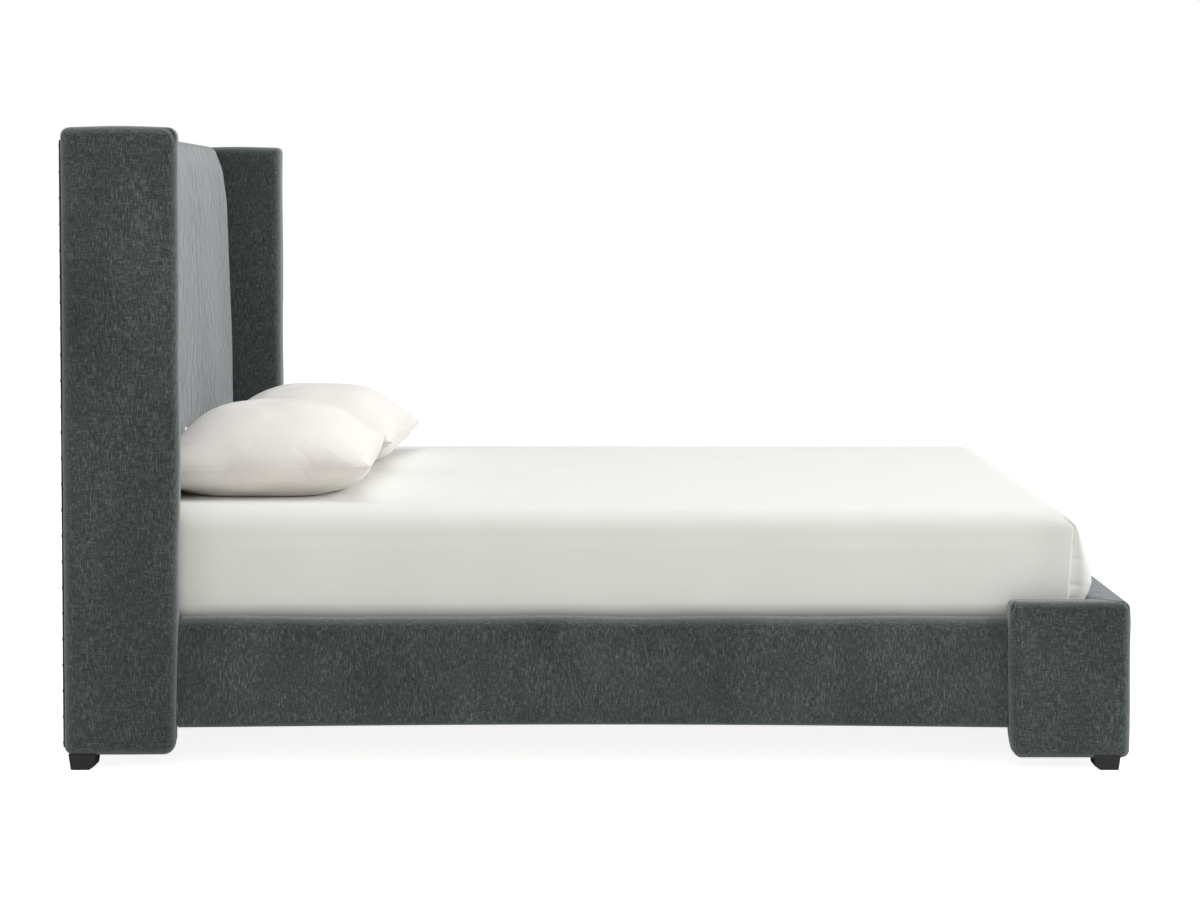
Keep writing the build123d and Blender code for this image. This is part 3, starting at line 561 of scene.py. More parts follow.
# %% Outlines
def filleted(corners, radii, steps=7):
    """A closed outline with an arc at each corner."""
    outline = []
    count = len(corners)
    for index, radius in enumerate(radii):
        before, corner, after = (np.array(corners[(index + k) % count], float) for k in (-1, 0, 1))
        back = (before - corner) / np.linalg.norm(before - corner)
        ahead = (after - corner) / np.linalg.norm(after - corner)
        half = 0.5 * math.acos(np.clip(back @ ahead, -1, 1))
        bisector = (back + ahead) / np.linalg.norm(back + ahead)
        middle = corner + bisector * radius / math.sin(half)
        start = math.atan2(*(corner + back * radius / math.tan(half) - middle)[::-1])
        end = math.atan2(*(corner + ahead * radius / math.tan(half) - middle)[::-1])
        turn = (end - start + math.pi) % (2 * math.pi) - math.pi
        for share in np.linspace(0, 1, steps + 1):
            angle = start + turn * share
            outline.append(middle + radius * np.array([math.cos(angle), math.sin(angle)]))
    return np.array(outline)


def rectangle(low_a, low_b, high_a, high_b, radii):
    """A closed outline with four rounded corners, from the lowest one round."""
    return filleted([(low_a, low_b), (high_a, low_b), (high_a, high_b), (low_a, high_b)], radii)


print("points round a rectangle:", len(rectangle(0, 0, 2, 1, (0.1,) * 4)))

# %% [markdown]
# A distance function says how far a point is from the rounded form, below zero inside. It joins
# the distance from the outline with the distance from the two flat faces, and a rounded rim
# comes out between them by itself. A point is then moved against the slope of that distance, a
# few times over, until it lies on the surface.


# %% Settling points on a form
def outline_distance(points, outline):
    """Signed distance in a plane from points to a closed outline, negative inside."""
    nearest = np.full(len(points), np.inf)
    inside = np.zeros(len(points), bool)
    for start, end in zip(outline, np.roll(outline, -1, axis=0)):
        along = end - start
        if along @ along < 1e-14:
            continue
        offset = points - start
        share = np.clip(offset @ along / (along @ along), 0, 1)
        nearest = np.minimum(nearest, ((offset - share[:, None] * along) ** 2).sum(1))
        if along[1]:
            crosses = (start[1] > points[:, 1]) != (end[1] > points[:, 1])
            meets = start[0] + (points[:, 1] - start[1]) * along[0] / along[1]
            inside ^= crosses & (points[:, 0] < meets)
    return np.where(inside, -1, 1) * np.sqrt(nearest)


def slab_distance(outline, plane, low, high, rim):
    """A distance function for an outline with a thickness and rounded rims."""
    across = 3 - sum(plane)

    def distance(points):
        flat = outline_distance(points[:, plane], outline) + rim
        thick = np.abs(points[:, across] - (low + high) / 2) - (high - low) / 2 + rim
        corner = np.hypot(np.maximum(flat, 0), np.maximum(thick, 0))
        return np.minimum(np.maximum(flat, thick), 0) + corner - rim

    return distance


def settle(points, *slab):
    """Move points straight onto the surface of a rounded slab."""
    distance = slab_distance(*slab)
    points = points.copy()
    step = 1e-4
    for _ in range(6):
        gap = distance(points)
        off = np.abs(gap) > 2e-5
        if not off.any():
            break
        some = points[off]
        slopes = [distance(some + shift) - distance(some - shift) for shift in np.eye(3) * step]
        slope = np.stack([difference / (2 * step) for difference in slopes], 1)
        slope /= np.maximum(np.linalg.norm(slope, axis=1, keepdims=True), 1e-6)
        points[off] = some - slope * gap[off, None]
    return points


print("rounded forms ready")

# %% [markdown]
# ## Working on a mesh
# Once a form is a mesh, its points are read as an array, moved along their normals and written
# back. Slow ripples keep stretched cloth from looking machined. They are sums of waves from a
# fixed seed, so each run gives the same cloth.


# %% Mesh helpers
def make_piece(name, points, faces, material):
    """A smooth mesh object at the origin."""
    mesh = bpy.data.meshes.new(name)
    mesh.from_pydata([tuple(p) for p in points], [], [tuple(int(i) for i in f) for f in faces])
    mesh.validate()
    mesh.materials.append(material)
    mesh.shade_smooth()
    return add_object(name, mesh)


def read_points(piece):
    """A piece's points as an array."""
    points = np.empty(len(piece.data.vertices) * 3)
    piece.data.vertices.foreach_get("co", points)
    return points.reshape(-1, 3)


def read_normals(piece):
    """A piece's point normals as an array."""
    normals = np.empty(len(piece.data.vertices) * 3)
    piece.data.vertex_normals.foreach_get("vector", normals)
    return normals.reshape(-1, 3)


def write_points(piece, points):
    """Put changed points back."""
    piece.data.vertices.foreach_set("co", points.ravel())
    piece.data.update()


def ripples(points, seed, wavelength, waves=9):
    """Smooth unevenness between about -1 and 1, the same on each run."""
    random = np.random.default_rng(seed)
    total = np.zeros(len(points))
    for _ in range(waves):
        direction = random.normal(size=3)
        direction *= 2 * math.pi / (wavelength * random.uniform(0.7, 1.6) * np.linalg.norm(direction))
        total += np.sin(points @ direction + random.uniform(0, 2 * math.pi))
    return total / math.sqrt(waves)


def fade(values, start, length):
    """A share that is 0 up to a start and 1 from a length further on, which can be negative."""
    return np.clip((values - start) / length, 0, 1)


print("mesh helpers ready")

# %% [markdown]
# ## Seams and pleats
# A seam or a pleat is a groove along a path. The faces near the path are divided first so that
# they can hold it. Then the points near it sink along their normals, less and less towards both
# ends of the groove.


# %% Seam helpers
def path_distance(points, path):
    """Distance from points to a path, and how far along it each nearest place is, from 0 to 1."""
    path = np.array(path, float)
    lengths = np.linalg.norm(np.diff(path, axis=0), axis=1)
    nearest = np.full(len(points), np.inf)
    along_path = np.zeros(len(points))
    passed = 0.0
    for start, end, length in zip(path[:-1], path[1:], lengths):
        along = end - start
        share = np.clip((points - start) @ along / length**2, 0, 1)
        gap = np.linalg.norm(points - start - share[:, None] * along, axis=1)
        closer = gap < nearest
        nearest[closer] = gap[closer]
        along_path[closer] = (passed + share[closer] * length) / lengths.sum()
        passed += length
    return nearest, along_path


def press(piece, path, width, depth, ends):
    """Press a groove along a path, fading over a share of its length at both ends."""
    points, normals = read_points(piece), read_normals(piece)
    gap, along = path_distance(points, path)
    shape = np.exp(-((gap / width) ** 2)) * np.clip(np.minimum(along, 1 - along) / ends, 0, 1)
    write_points(piece, points - normals * (depth * shape)[:, None])


def refine(piece, path, reach):
    """Divide the faces near a path so that a seam can be pressed into them."""
    grown = bmesh.new()
    grown.from_mesh(piece.data)
    centres = np.array([face.calc_center_median() for face in grown.faces])
    close = path_distance(centres, path)[0] < reach
    chosen = {edge for face, near in zip(grown.faces, close) if near for edge in face.edges}
    bmesh.ops.subdivide_edges(grown, edges=list(chosen), cuts=1, use_grid_fill=True)
    grown.to_mesh(piece.data)
    grown.free()
    piece.data.shade_smooth()


def crease(piece, path, reaches, *groove):
    """Divide the faces near a path, once for each reach, then press a groove there."""
    for reach in reaches:
        refine(piece, path, reach)
    press(piece, path, *groove)


print("seam helpers ready")

# %% [markdown]
# ## Dressing a piece
# A padded piece takes the place of plain CAD covers and moves with one body. One helper hides
# what it replaces and attaches the piece to what it rides on.


# %% Dressing helper
def dress(piece, body, material_slot, fill, *replaced):
    """Hide the CAD parts that a padded piece stands for and attach it to what it rides on."""
    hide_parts(*replaced)
    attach(piece, body)


print("dressing helper ready")

# %% [markdown]
# ## The wings
# Each wing is a board wrapped in foam and velvet: a tall slab, six centimetres thick, whose rims
# are rolled and whose front top corner is eased. Its faces swell a little between the edges,
# and hand-stretched cloth is never quite even, so slow ripples move it by a fraction of a
# millimetre. Low down the front edge draws back by a centimetre, as it does in the photograph.

# %% Wings
RIM = 0.020
HANG = 0.0028
RISE = 0.0062
TOP_FALL = 0.004
SWELLING = 0.003
BACK_BULGE = 0.0075
FRONT_SLANT = 0.0055
OUTER_FACE = 0.826
WING_THICK = 0.060
DRAW_BACK = ((0.03, 0.0120), (0.16, 0.0100), (0.33, 0.0058), (0.62, 0.0))


def draw_back(z):
    """How far the wing's front edge lies back at a height."""
    return np.interp(z, *zip(*DRAW_BACK))


def make_wing(side, name, front_top_radius, front_shift):
    """One wing, its outline taken from the CAD cover's box."""
    low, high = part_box(f"{name}_wing_cover")
    low.z -= HANG
    high.z += RISE
    outline = filleted(
        [
            (low.x, low.z),
            (high.x, low.z),
            (high.x, high.z - TOP_FALL),
            ((low.x + high.x) / 2, high.z),
            (low.x, high.z - TOP_FALL),
        ],
        (0.017, 0.027, front_top_radius, 1.5, 0.018),
    )
    steps = (0.010, NARROW, NARROW), (0.006, NARROW[:6], NARROW[:6]), (0.011, NARROW, NARROW)
    points, faces = box_skin(low, high, *steps)
    points = settle(points, outline, [0, 2], low.y, high.y, RIM)
    piece = make_piece(f"{name}_wing_upholstery", points, faces, wing_velvet)
    points = read_points(piece)
    inwards = np.maximum(-outline_distance(points[:, [0, 2]], outline), 0)
    points += read_normals(piece) * (SWELLING * (1 - np.exp(-inwards / 0.03)))[:, None]
    write_points(piece, points)
    points = read_points(piece)
    points += read_normals(piece) * (0.0006 * ripples(points, 11 + side, 0.22))[:, None]
    points[:, 0] -= BACK_BULGE * fade(points[:, 0], low.x + 0.05, -0.05)
    front_share = fade(points[:, 0], low.x, high.x - low.x)
    inner_share = fade(np.abs(points[:, 1]), OUTER_FACE, -WING_THICK)
    move_front = front_shift - draw_back(points[:, 2]) - FRONT_SLANT * inner_share
    points[:, 0] += front_share * move_front
    write_points(piece, points)
    tip = np.array([high.x + front_shift, low.y if side < 0 else high.y, high.z])
    for back, down, depth in ((0.0, 0.0, 0.0042), (0.006, -0.004, 0.0024)):
        guesses = tip + [
            (-0.024 - back, -side * 0.010, -0.001),
            (-0.013 - back, -side * 0.003, -0.006 + down),
            (-0.006 - back, -side * 0.002, -0.016 + down),
            (-0.003, -side * 0.006, -0.034 + down),
        ]
        points = read_points(piece)
        nearest = np.linalg.norm(points[:, None] - guesses[None], axis=2).argmin(0)
        crease(piece, points[nearest], (0.012,), 0.0028, depth, 0.3)
    dress(piece, "bed_frame", "velvet", 0.9, f"{name}_wing_cover", f"{name}_wing_foam")
    return piece


wings = [make_wing(-1, "left", 0.022, 0.0), make_wing(1, "right", 0.013, 0.007)]
print("wings:", [len(w.data.polygons) for w in wings], "faces")

# %% [markdown]
# ## The headboard panel
# Between the wings the panel rises straight, leans back a little and rolls over at the top. Its
# section was read from the photograph as distances in front of the back. The section is swept
# across the bed, and its ends are rounded where it meets each wing.

# %% Headboard
PANEL_RISE = 0.0042
END_GAP = 0.001

low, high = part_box("headboard_cover")
high.z += PANEL_RISE
PANEL_SECTION = (
    (high.x, low.z),
    (high.x, 0.556),
    (high.x + 0.0125, 0.600),
    (high.x + 0.0105, 0.842),
    (high.x + 0.0040, 1.022),
    (high.x - 0.0022, 1.203),
    (high.x - 0.0130, 1.286),
    (high.x - 0.0330, 1.338),
    (high.x - 0.0450, high.z + 0.0025),
    (low.x, high.z - 0.004),
    (low.x, low.z),
)
PANEL_ROUND = (0.006, 0.05, 0.05, 1.0, 1.0, 0.15, 0.08, 0.012, 0.012, 0.012, 0.006)
steps = (0.010, NARROW[:7], NARROW[:7]), (0.014, NARROW, NARROW), (0.011, NARROW[:6], NARROW)
points, faces = box_skin(low, high, *steps)
front_x, front_z = np.array(PANEL_SECTION[1:9]).T
reach = (np.interp(points[:, 2], front_z, front_x) - low.x) / (high.x - low.x)
points[:, 0] = low.x + (points[:, 0] - low.x) * reach
panel_outline = filleted(PANEL_SECTION, PANEL_ROUND)
points = settle(points, panel_outline, [0, 2], low.y + END_GAP, high.y - END_GAP, RIM)
headboard = make_piece("headboard_upholstery", points, faces, panel_velvet)
points = read_points(headboard)
is_front = np.clip(read_normals(headboard)[:, 0], 0, 1)
across = fade(np.abs(points[:, 1]), high.y, -0.12)
points[:, 0] += is_front * (0.003 * across + 0.0012 * across * ripples(points, 5, 0.35))
write_points(headboard, points)
dress(headboard, "bed_frame", "velvet", 0.85, "headboard_cover", "headboard_foam")
print("headboard:", len(headboard.data.polygons), "faces")

# %% [markdown]
# ## The back board
# A thin dark board closes the back. It stands a few millimetres out, which shows from the side
# as a dark line down the bed's back edge.

# %% Back board
BACK_PROUD = 0.0065
BOARD_RIM = 0.0018

low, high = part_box("back_panel")
low.x -= BACK_PROUD
thin = (BOARD_RIM / 2, BOARD_RIM)
steps = (0.004, thin, thin), (0.06, NARROW[:3], NARROW[:3]), (0.06, NARROW[:3], NARROW[:3])
points, faces = box_skin(low, high, *steps)
board_outline = rectangle(low.y, low.z, high.y, high.z, (0.005,) * 4)
points = settle(points, board_outline, [1, 2], low.x, high.x, BOARD_RIM)
back_board = make_piece("back_board", points, faces, backing)
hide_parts("back_panel")
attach(back_board, "bed_frame")
print("back board:", len(back_board.data.polygons), "faces")

# %% [markdown]
# ## The side rails
# A side rail is a board with thin foam on its outer face, in a sleeve of the same velvet. Its
# upper edge is soft and its lower edge bows upwards by a few millimetres along its length.

# %% Side rails
RAIL_HANG = 0.005
RAIL_RIM = 0.003
SMALL_ROUND = 0.006
LOWER_ROUND = 0.009
UPPER_ROUND = 0.022
BOW = 0.0062


def make_rail(side, name):
    """One side rail with a soft upper edge and a slightly bowed lower one."""
    low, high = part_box(f"{name}_rail_cover")
    low.z -= RAIL_HANG
    radii = (LOWER_ROUND, SMALL_ROUND, SMALL_ROUND, UPPER_ROUND)
    if side > 0:
        radii = (SMALL_ROUND, LOWER_ROUND, UPPER_ROUND, SMALL_ROUND)
    section = rectangle(low.y, low.z, high.y, high.z, radii)
    ends = [NARROW[:count] for count in (4, 6, 8)]
    steps = [(step, end, end) for step, end in zip((0.014, 0.006, 0.011), ends)]
    points, faces = box_skin(low, high, *steps)
    points = settle(points, section, [1, 2], low.x, high.x, RAIL_RIM)
    piece = make_piece(f"{name}_rail_upholstery", points, faces, low_velvet)
    points, normals = read_points(piece), read_normals(piece)
    lower = fade(points[:, 2], 0.2, -0.1)
    along = (points[:, 0] - low.x) / (high.x - low.x)
    points[:, 2] += lower * BOW * np.sin(math.pi * along)
    outward = np.clip(normals[:, 1] * side, 0, 1)
    edge = fade(points[:, 2], low.z, 0.05) * fade(points[:, 2], high.z, -0.05)
    points[:, 1] += side * outward * edge * (0.002 + 0.0008 * ripples(points, 21 + side, 0.3))
    upper = fade(points[:, 2], high.z - 0.04, 0.04)
    points[:, 2] += upper * 0.0016 * ripples(points, 27 + side, 0.24)
    points[:, 0] -= fade(points[:, 0], low.x + 0.1, -0.1) * draw_back(points[:, 2])
    write_points(piece, points)
    dress(piece, "bed_frame", "velvet", 0.8, f"{name}_rail_cover", f"{name}_rail_foam")
    return piece


rails = [make_rail(-1, "left"), make_rail(1, "right")]
print("rails:", [len(r.data.polygons) for r in rails], "faces")

# %% [markdown]
# ## The footboard
# The low footboard turns the corner at both ends and runs back along each side as a short
# return. One cover goes round all of it, joined by a slanting seam across the top of each
# corner, so it is one piece here: a U of cells, rounded by one distance function, with the seams
# pressed in where the mesh has been made fine enough to hold them.

# %% Footboard
FOOT_HANG = 0.0082
TOP_PRESSED = 0.0015
FOOT_RIM = 0.016

foot_low, foot_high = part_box("footboard_cover")
foot_low.z -= FOOT_HANG
foot_high.z -= TOP_PRESSED
near_low, near_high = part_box("left_return_cover")
return_x, inner_x, outer_x = near_low.x, foot_low.x, foot_high.x
inner_y, outer_y = -near_high.y, -near_low.y
top_z = foot_high.z
OUTER_ROUND = 0.018
RETURN_ROUND = 0.012
INNER_ROUND = 0.002
FINE = 0.005

footboard_plan = filleted(
    [
        (return_x, -outer_y),
        (outer_x, -outer_y),
        (outer_x, outer_y),
        (return_x, outer_y),
        (return_x, inner_y),
        (inner_x, inner_y),
        (inner_x, -inner_y),
        (return_x, -inner_y),
    ],
    (*[OUTER_ROUND] * 4, RETURN_ROUND, INNER_ROUND, INNER_ROUND, RETURN_ROUND),
)
return_xs = places_between(return_x, inner_x, 0.008, NARROW, NARROW[:4])
end_xs = places_between(inner_x, outer_x, FINE, (), NARROW[:7])
xs = np.unique(np.concatenate([return_xs, end_xs]))
side_ys = places_between(inner_y, outer_y, FINE, NARROW[:5], NARROW[:7])
middle_ys = places_between(-inner_y, inner_y, 0.014, NARROW[:8], NARROW[:8])
ys = np.unique(np.concatenate([-side_ys, middle_ys, side_ys]))
zs = places_between(foot_low.z, foot_high.z, 0.010, NARROW, NARROW)
middle_x, middle_y = (xs[:-1] + xs[1:]) / 2, (ys[:-1] + ys[1:]) / 2
in_plan = (middle_x[:, None] > inner_x) | (np.abs(middle_y)[None, :] > inner_y)
points, faces = cell_skin(xs, ys, zs, np.repeat(in_plan[:, :, None], len(zs) - 1, axis=2))
points = settle(points, footboard_plan, [0, 1], foot_low.z, foot_high.z, FOOT_RIM)
footboard = make_piece("footboard_upholstery", points, faces, low_velvet)
points, normals = read_points(footboard), read_normals(footboard)
edge = fade(points[:, 2], foot_low.z, 0.05) * fade(points[:, 2], foot_high.z, -0.05)
level = np.hypot(normals[:, 0], normals[:, 1])
swelling = level * edge * (0.0016 + 0.0008 * ripples(points, 31, 0.2))
points += normals * swelling[:, None]
lean = 0.0045 * fade(points[:, 2], 0.17, -0.13) ** 1.3
lean += 0.0065 * fade(points[:, 2], 0.078, -0.05) ** 2
points[:, 0] += lean * fade(points[:, 0], return_x + 0.10, -0.10)
write_points(footboard, points)
print("footboard:", len(footboard.data.polygons), "faces before its seams")

# %% [markdown]
# The seam across each corner's top is a mitre. Small folds fan out where the cover is pulled
# into the inner corner, and the return's front edge is wrapped with a rope-like overcast.

# %% Footboard seams
FAN = ((0.034, 0.1, 0.0030), (0.028, 0.55, 0.0026), (0.024, 1.1, 0.0024))
ROPE_PITCH = 0.0085
ROPE_HEIGHT = 0.0017

for side in (-1, 1):
    mitre = [
        (inner_x - 0.001, side * inner_y, top_z - 0.018),
        (inner_x + 0.004, side * (inner_y + 0.003), top_z),
        (outer_x - 0.016, side * (outer_y - 0.012), top_z),
        (outer_x - 0.004, side * (outer_y - 0.003), top_z - 0.014),
    ]
    crease(footboard, mitre, (0.014, 0.008), 0.0026, 0.0028, 0.05)
    front_fold = [
        (return_x + 0.002, side * (outer_y - 0.001), top_z - 0.022),
        (return_x + 0.006, side * (outer_y - 0.006), top_z - 0.008),
        (return_x + 0.014, side * (outer_y - 0.018), top_z),
    ]
    crease(footboard, front_fold, (0.014,), 0.0032, 0.0055, 0.2)
    for reach, turn, depth in FAN:
        start = np.array([inner_x - 0.001, side * (inner_y - 0.004), top_z - 0.014])
        middle = start + np.array([0.008, side * -0.002, 0.013])
        end = start + np.array([reach * math.cos(turn), -side * reach * math.sin(turn), 0.0145])
        crease(footboard, [start, middle, end], (0.008,), 0.0020, depth, 0.25)
for side in (-1, 1):
    wrapped_edge = [
        (return_x + 0.004, side * (outer_y - 0.005), top_z - 0.030),
        (return_x + 0.004, side * (outer_y - 0.005), top_z - 0.190),
    ]
    refine(footboard, wrapped_edge, 0.020)
    refine(footboard, wrapped_edge, 0.016)
    points, normals = read_points(footboard), read_normals(footboard)
    gap, along = path_distance(points, wrapped_edge)
    slanting = points[:, 2] + np.abs(points[:, 1]) * 0.9 - points[:, 0] * 0.9
    hatch = np.sin(slanting * 2 * math.pi / ROPE_PITCH)
    strength = np.exp(-((gap / 0.010) ** 2)) * np.clip(along * 8, 0, 1) * np.clip((1 - along) * 2, 0, 1)
    write_points(footboard, points + normals * (ROPE_HEIGHT * hatch * strength)[:, None])
returns = [f"{name}_return_{part}" for name in ("left", "right") for part in ("cover", "foam")]
dress(footboard, "bed_frame", "velvet", 0.9, "footboard_cover", "footboard_foam", *returns)
print("footboard:", len(footboard.data.polygons), "faces")

# %% [markdown]
# ## The mattress
# A mattress that is a little short of its frame slumps at the foot: its end bulges over the
# footboard and draws back at the top. The profile was read off the photograph, and both the
# mattress and the sheet over it follow it. Its head end stays clear of the panel, which bulges
# forwards above it, so it can be lifted out. Only its underside shows, between the slats.

# %% Mattress
HEAD_CLEARANCE = 0.0145

low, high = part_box("mattress")
low.x += HEAD_CLEARANCE
FOOT_PROFILE = (
    (0.2870, 1.012),
    (0.2950, 1.026),
    (0.3180, 1.0325),
    (0.3500, 1.0335),
    (0.3620, 1.0410),
    (0.3830, 1.0475),
    (0.4100, 1.0470),
    (0.4500, 1.0385),
    (0.4900, 1.0250),
    (0.5100, 1.0130),
    (0.5250, 0.9990),
    (0.5350, 0.9850),
    (0.5400, 0.9710),
    (0.5445, 0.9500),
)
UNDER_SHEET = 0.001
FOOT_UNDER_SHEET = 0.0035
SLUMP_LENGTH = 0.16
PLAN_CORNER = 0.090
MATTRESS_RIM = 0.060

profile_z, profile_x = np.array(FOOT_PROFILE).T
core_top = high.z - UNDER_SHEET
core_plan = rectangle(low.x, low.y + UNDER_SHEET, high.x, high.y - UNDER_SHEET, (PLAN_CORNER,) * 4)
steps = [(step, NARROW[2:], NARROW[2:]) for step in (0.03, 0.03, 0.02)]
points, faces = box_skin(low, (high.x, high.y, core_top), *steps)
points = settle(points, core_plan, [0, 1], low.z, core_top, MATTRESS_RIM)
end_share = fade(points[:, 0], high.x - SLUMP_LENGTH, SLUMP_LENGTH)
foot_end = np.interp(points[:, 2], profile_z, profile_x) - FOOT_UNDER_SHEET
points[:, 0] += end_share * (foot_end - high.x)
mattress = make_piece("mattress_core", points, faces, ticking)
dress(mattress, "mattress_body", "ticking", 0.95, "mattress")
print("mattress:", len(mattress.data.polygons), "faces")

# %% [markdown]
# ## The sheet
# A flat sheet is laid over the mattress, drawn down its sides and tucked under all round. At
# each corner the spare cloth is laid in one upright fold: the side's cloth runs to a crisp edge
# just before the corner, turns back beneath itself, and only then goes round. A shrink-wrapped
# block can't show that, so the sheet is made as level rings of points. Every ring takes the
# same course, folds included, and a fold's depth fades to nothing towards the top.

# %% Half a ring
SHEET_OUT = 0.0016
side_y = high.y + SHEET_OUT
head_x = low.x - SHEET_OUT
top_level = high.z + 0.0012
under_level = low.z - 0.0014
TOP_ROUND = 0.046
BOTTOM_ROUND = 0.051
FOLD_EDGE = ((0.29, 0.990), (0.35, 0.993), (0.43, 0.998), (0.514, 1.004))
FOLD_DEPTH = 0.034
FOLD_LIFT = 0.0056
FOLD_SHARES = (0.15, 0.35, 0.55, 0.75, 0.93)
FOLD_TURN = ((1.2, 0.02), (0.4, 0.3), (0.0, 1.0), (0.4, 1.7), (1.2, 1.98))
BEFORE_FOLD = (0.062, 0.050, 0.040, 0.031, 0.023, 0.016, 0.010, 0.006, 0.0035)
VALLEY = ((0.36, 0.0070), (0.47, 0.0110), (0.505, 0.0160))
PUCKERS = ((0.468, 0.0030), (0.436, 0.0022), (0.381, 0.0034), (0.352, 0.0020))
ROUND_CORNER = 0.030
QUARTER = math.pi / 2


def half_ring(z, inset, head, foot, fold):
    """Points from the head's middle round the near side to the foot's middle."""
    y = side_y - inset
    radius = min(max(ROUND_CORNER - inset, 0.0), y)
    course = [(head, y_place) for y_place in np.linspace(0, y - radius, 46)]
    for angle in np.linspace(0, QUARTER, 9)[1:]:
        course.append((head + radius * (1 - math.cos(angle)), y - radius + radius * math.sin(angle)))
    wanted_edge = np.interp(z, *zip(*FOLD_EDGE)) - inset
    reach_x = max(foot - wanted_edge, 0.010) * fold + radius * (1 - fold)
    edge = foot - reach_x
    head_edge = head + radius
    places = np.concatenate(
        [
            head_edge + np.array([0.006, 0.014, 0.026, 0.042]),
            np.linspace(head_edge + 0.06, edge - 0.075, 136),
            edge - np.array(BEFORE_FOLD),
        ]
    )
    turned = FOLD_LIFT * fold
    for x in places:
        lift = turned * math.exp(-(((edge - x) / 0.045) ** 2)) if x > edge - 0.2 else 0.0
        course.append((x, y + lift))
    bend = 0.0013 * fold
    course += [(edge - back * bend, y + turned - out * bend) for back, out in FOLD_TURN]
    depth = FOLD_DEPTH * fold
    for share in FOLD_SHARES:
        course.append((edge - depth * share, y + turned - 2 * bend + 0.0004 * fold * share))
    course.append((edge - depth, y + 0.0016 * fold))
    course += [(edge - depth * share, y + 0.0006 * fold) for share in FOLD_SHARES[::-1]]
    pucker = sum(size * math.exp(-(((z - height) / 0.0045) ** 2)) for height, size in PUCKERS)
    valley = np.interp(z, *zip(*VALLEY)) * fold + pucker * fold
    course.append((edge - 0.001 * fold, y - 0.0004 * fold))
    for angle in np.linspace(0, QUARTER, 13):
        sunk = valley * math.exp(-(((angle - 0.14) / 0.36) ** 2))
        course.append((edge + reach_x * math.sin(angle), y - sunk - radius * (1 - math.cos(angle))))
    course += [(foot, y_place) for y_place in np.linspace(y - radius, 0, 46)[1:]]
    return [(x, -y_place, z) for x, y_place in course]


print("points in half a ring:", len(half_ring(under_level, 0.0, head_x, profile_x[2], 1.0)))

# %% [markdown]
# Each ring has its height, how far it lies inside the bed's sides, its two ends and how deep its
# fold is. The rows run from the middle of the top outwards, over the edge, down the side, round
# the lower edge and a little way under the mattress. The far half of a ring mirrors the near one.

# %% Sheet rings
rows = []
for inset in np.concatenate([np.linspace(side_y, 0.066, 30), [0.058, 0.052]]):
    rows.append((top_level, inset, head_x + inset, profile_x[-1] - (inset - TOP_ROUND), 0))
for angle in np.linspace(0, QUARTER, 13):
    z = top_level - TOP_ROUND * (1 - math.cos(angle))
    inset = TOP_ROUND * (1 - math.sin(angle))
    fold = np.clip((0.530 - z) / 0.022, 0, 1)
    rows.append((z, inset, head_x + inset, np.interp(z, profile_z, profile_x), fold))
for z in np.linspace(top_level - TOP_ROUND, under_level + BOTTOM_ROUND, 44)[1:]:
    rows.append((z, 0.0, head_x, np.interp(z, profile_z, profile_x), 1.0))
for angle in np.linspace(0, QUARTER, 14)[1:]:
    z = under_level + BOTTOM_ROUND * (1 - math.sin(angle))
    inset = BOTTOM_ROUND * (1 - math.cos(angle))
    rows.append((z, inset, head_x + inset, profile_x[2] - inset, math.cos(angle) * 0.9))
for inset in np.linspace(BOTTOM_ROUND, 0.15, 7)[1:]:
    rows.append((under_level, inset, head_x + inset, profile_x[2] - inset, 0))

sheet_rings = []
for row in rows:
    near = half_ring(*row)
    sheet_rings.append(near + [(x, -y, z) for x, y, z in reversed(near[1:-1])])
ring_size = len(sheet_rings[0])
sheet_points = np.array(sheet_rings).reshape(-1, 3)
sheet_faces = []
for start in range(0, (len(sheet_rings) - 1) * ring_size, ring_size):
    for step in range(ring_size):
        ahead = (step + 1) % ring_size
        below = start + ring_size
        sheet_faces.append((start + step, below + step, below + ahead, start + ahead))
print("sheet:", len(sheet_rings), "rings of", ring_size, "points")

# %% [markdown]
# The rings of the flat top shrink to a line, whose points are merged. Then the cloth gets its
# life: a crown across the bed, slow unevenness where it lies on the mattress, and a slight
# swelling of its sides between the folds. Solidify gives it the thickness of cotton.

# %% Sheet cloth
SIDE_STRETCH = np.array([1, 1, 0.25])
CLOTH_THICK = 0.0008

sheet = make_piece("fitted_sheet", sheet_points, sheet_faces, sheet_cotton)
joined = bmesh.new()
joined.from_mesh(sheet.data)
bmesh.ops.remove_doubles(joined, verts=joined.verts, dist=0.00005)
bmesh.ops.dissolve_degenerate(joined, edges=joined.edges, dist=0.00002)
bmesh.ops.recalc_face_normals(joined, faces=joined.faces)
joined.to_mesh(sheet.data)
joined.free()
sheet.data.shade_smooth()
points, normals = read_points(sheet), read_normals(sheet)
if normals[np.argmax(points[:, 2])][2] < 0:
    sheet.data.flip_normals()
    normals = read_normals(sheet)
facing_up = np.clip(normals[:, 2], 0, 1)
on_side = np.clip(1 - np.abs(normals[:, 2]), 0, 1)
off_middle = np.abs(points[:, 1])
inboard = fade(off_middle, side_y, -0.25)
crown = fade(off_middle, side_y - 0.012, -0.035)
points[:, 2] += facing_up * (0.0028 * crown + 0.0012 * inboard * ripples(points, 41, 0.9, 7))
side_band = fade(points[:, 2], 0.320, 0.022) ** 0.7 * fade(points[:, 2], 0.52, -0.06)
bulge = side_band * on_side * (0.0034 + 0.0013 * ripples(points * SIDE_STRETCH, 43, 0.26))
away = fade(points[:, 0], 0.93, -0.05) * fade(points[:, 0], -0.86, 0.05)
points[:, 1] += np.sign(points[:, 1]) * np.abs(normals[:, 1]) * bulge * away
write_points(sheet, points)
cloth_layer = sheet.modifiers.new("cloth_thickness", "SOLIDIFY")
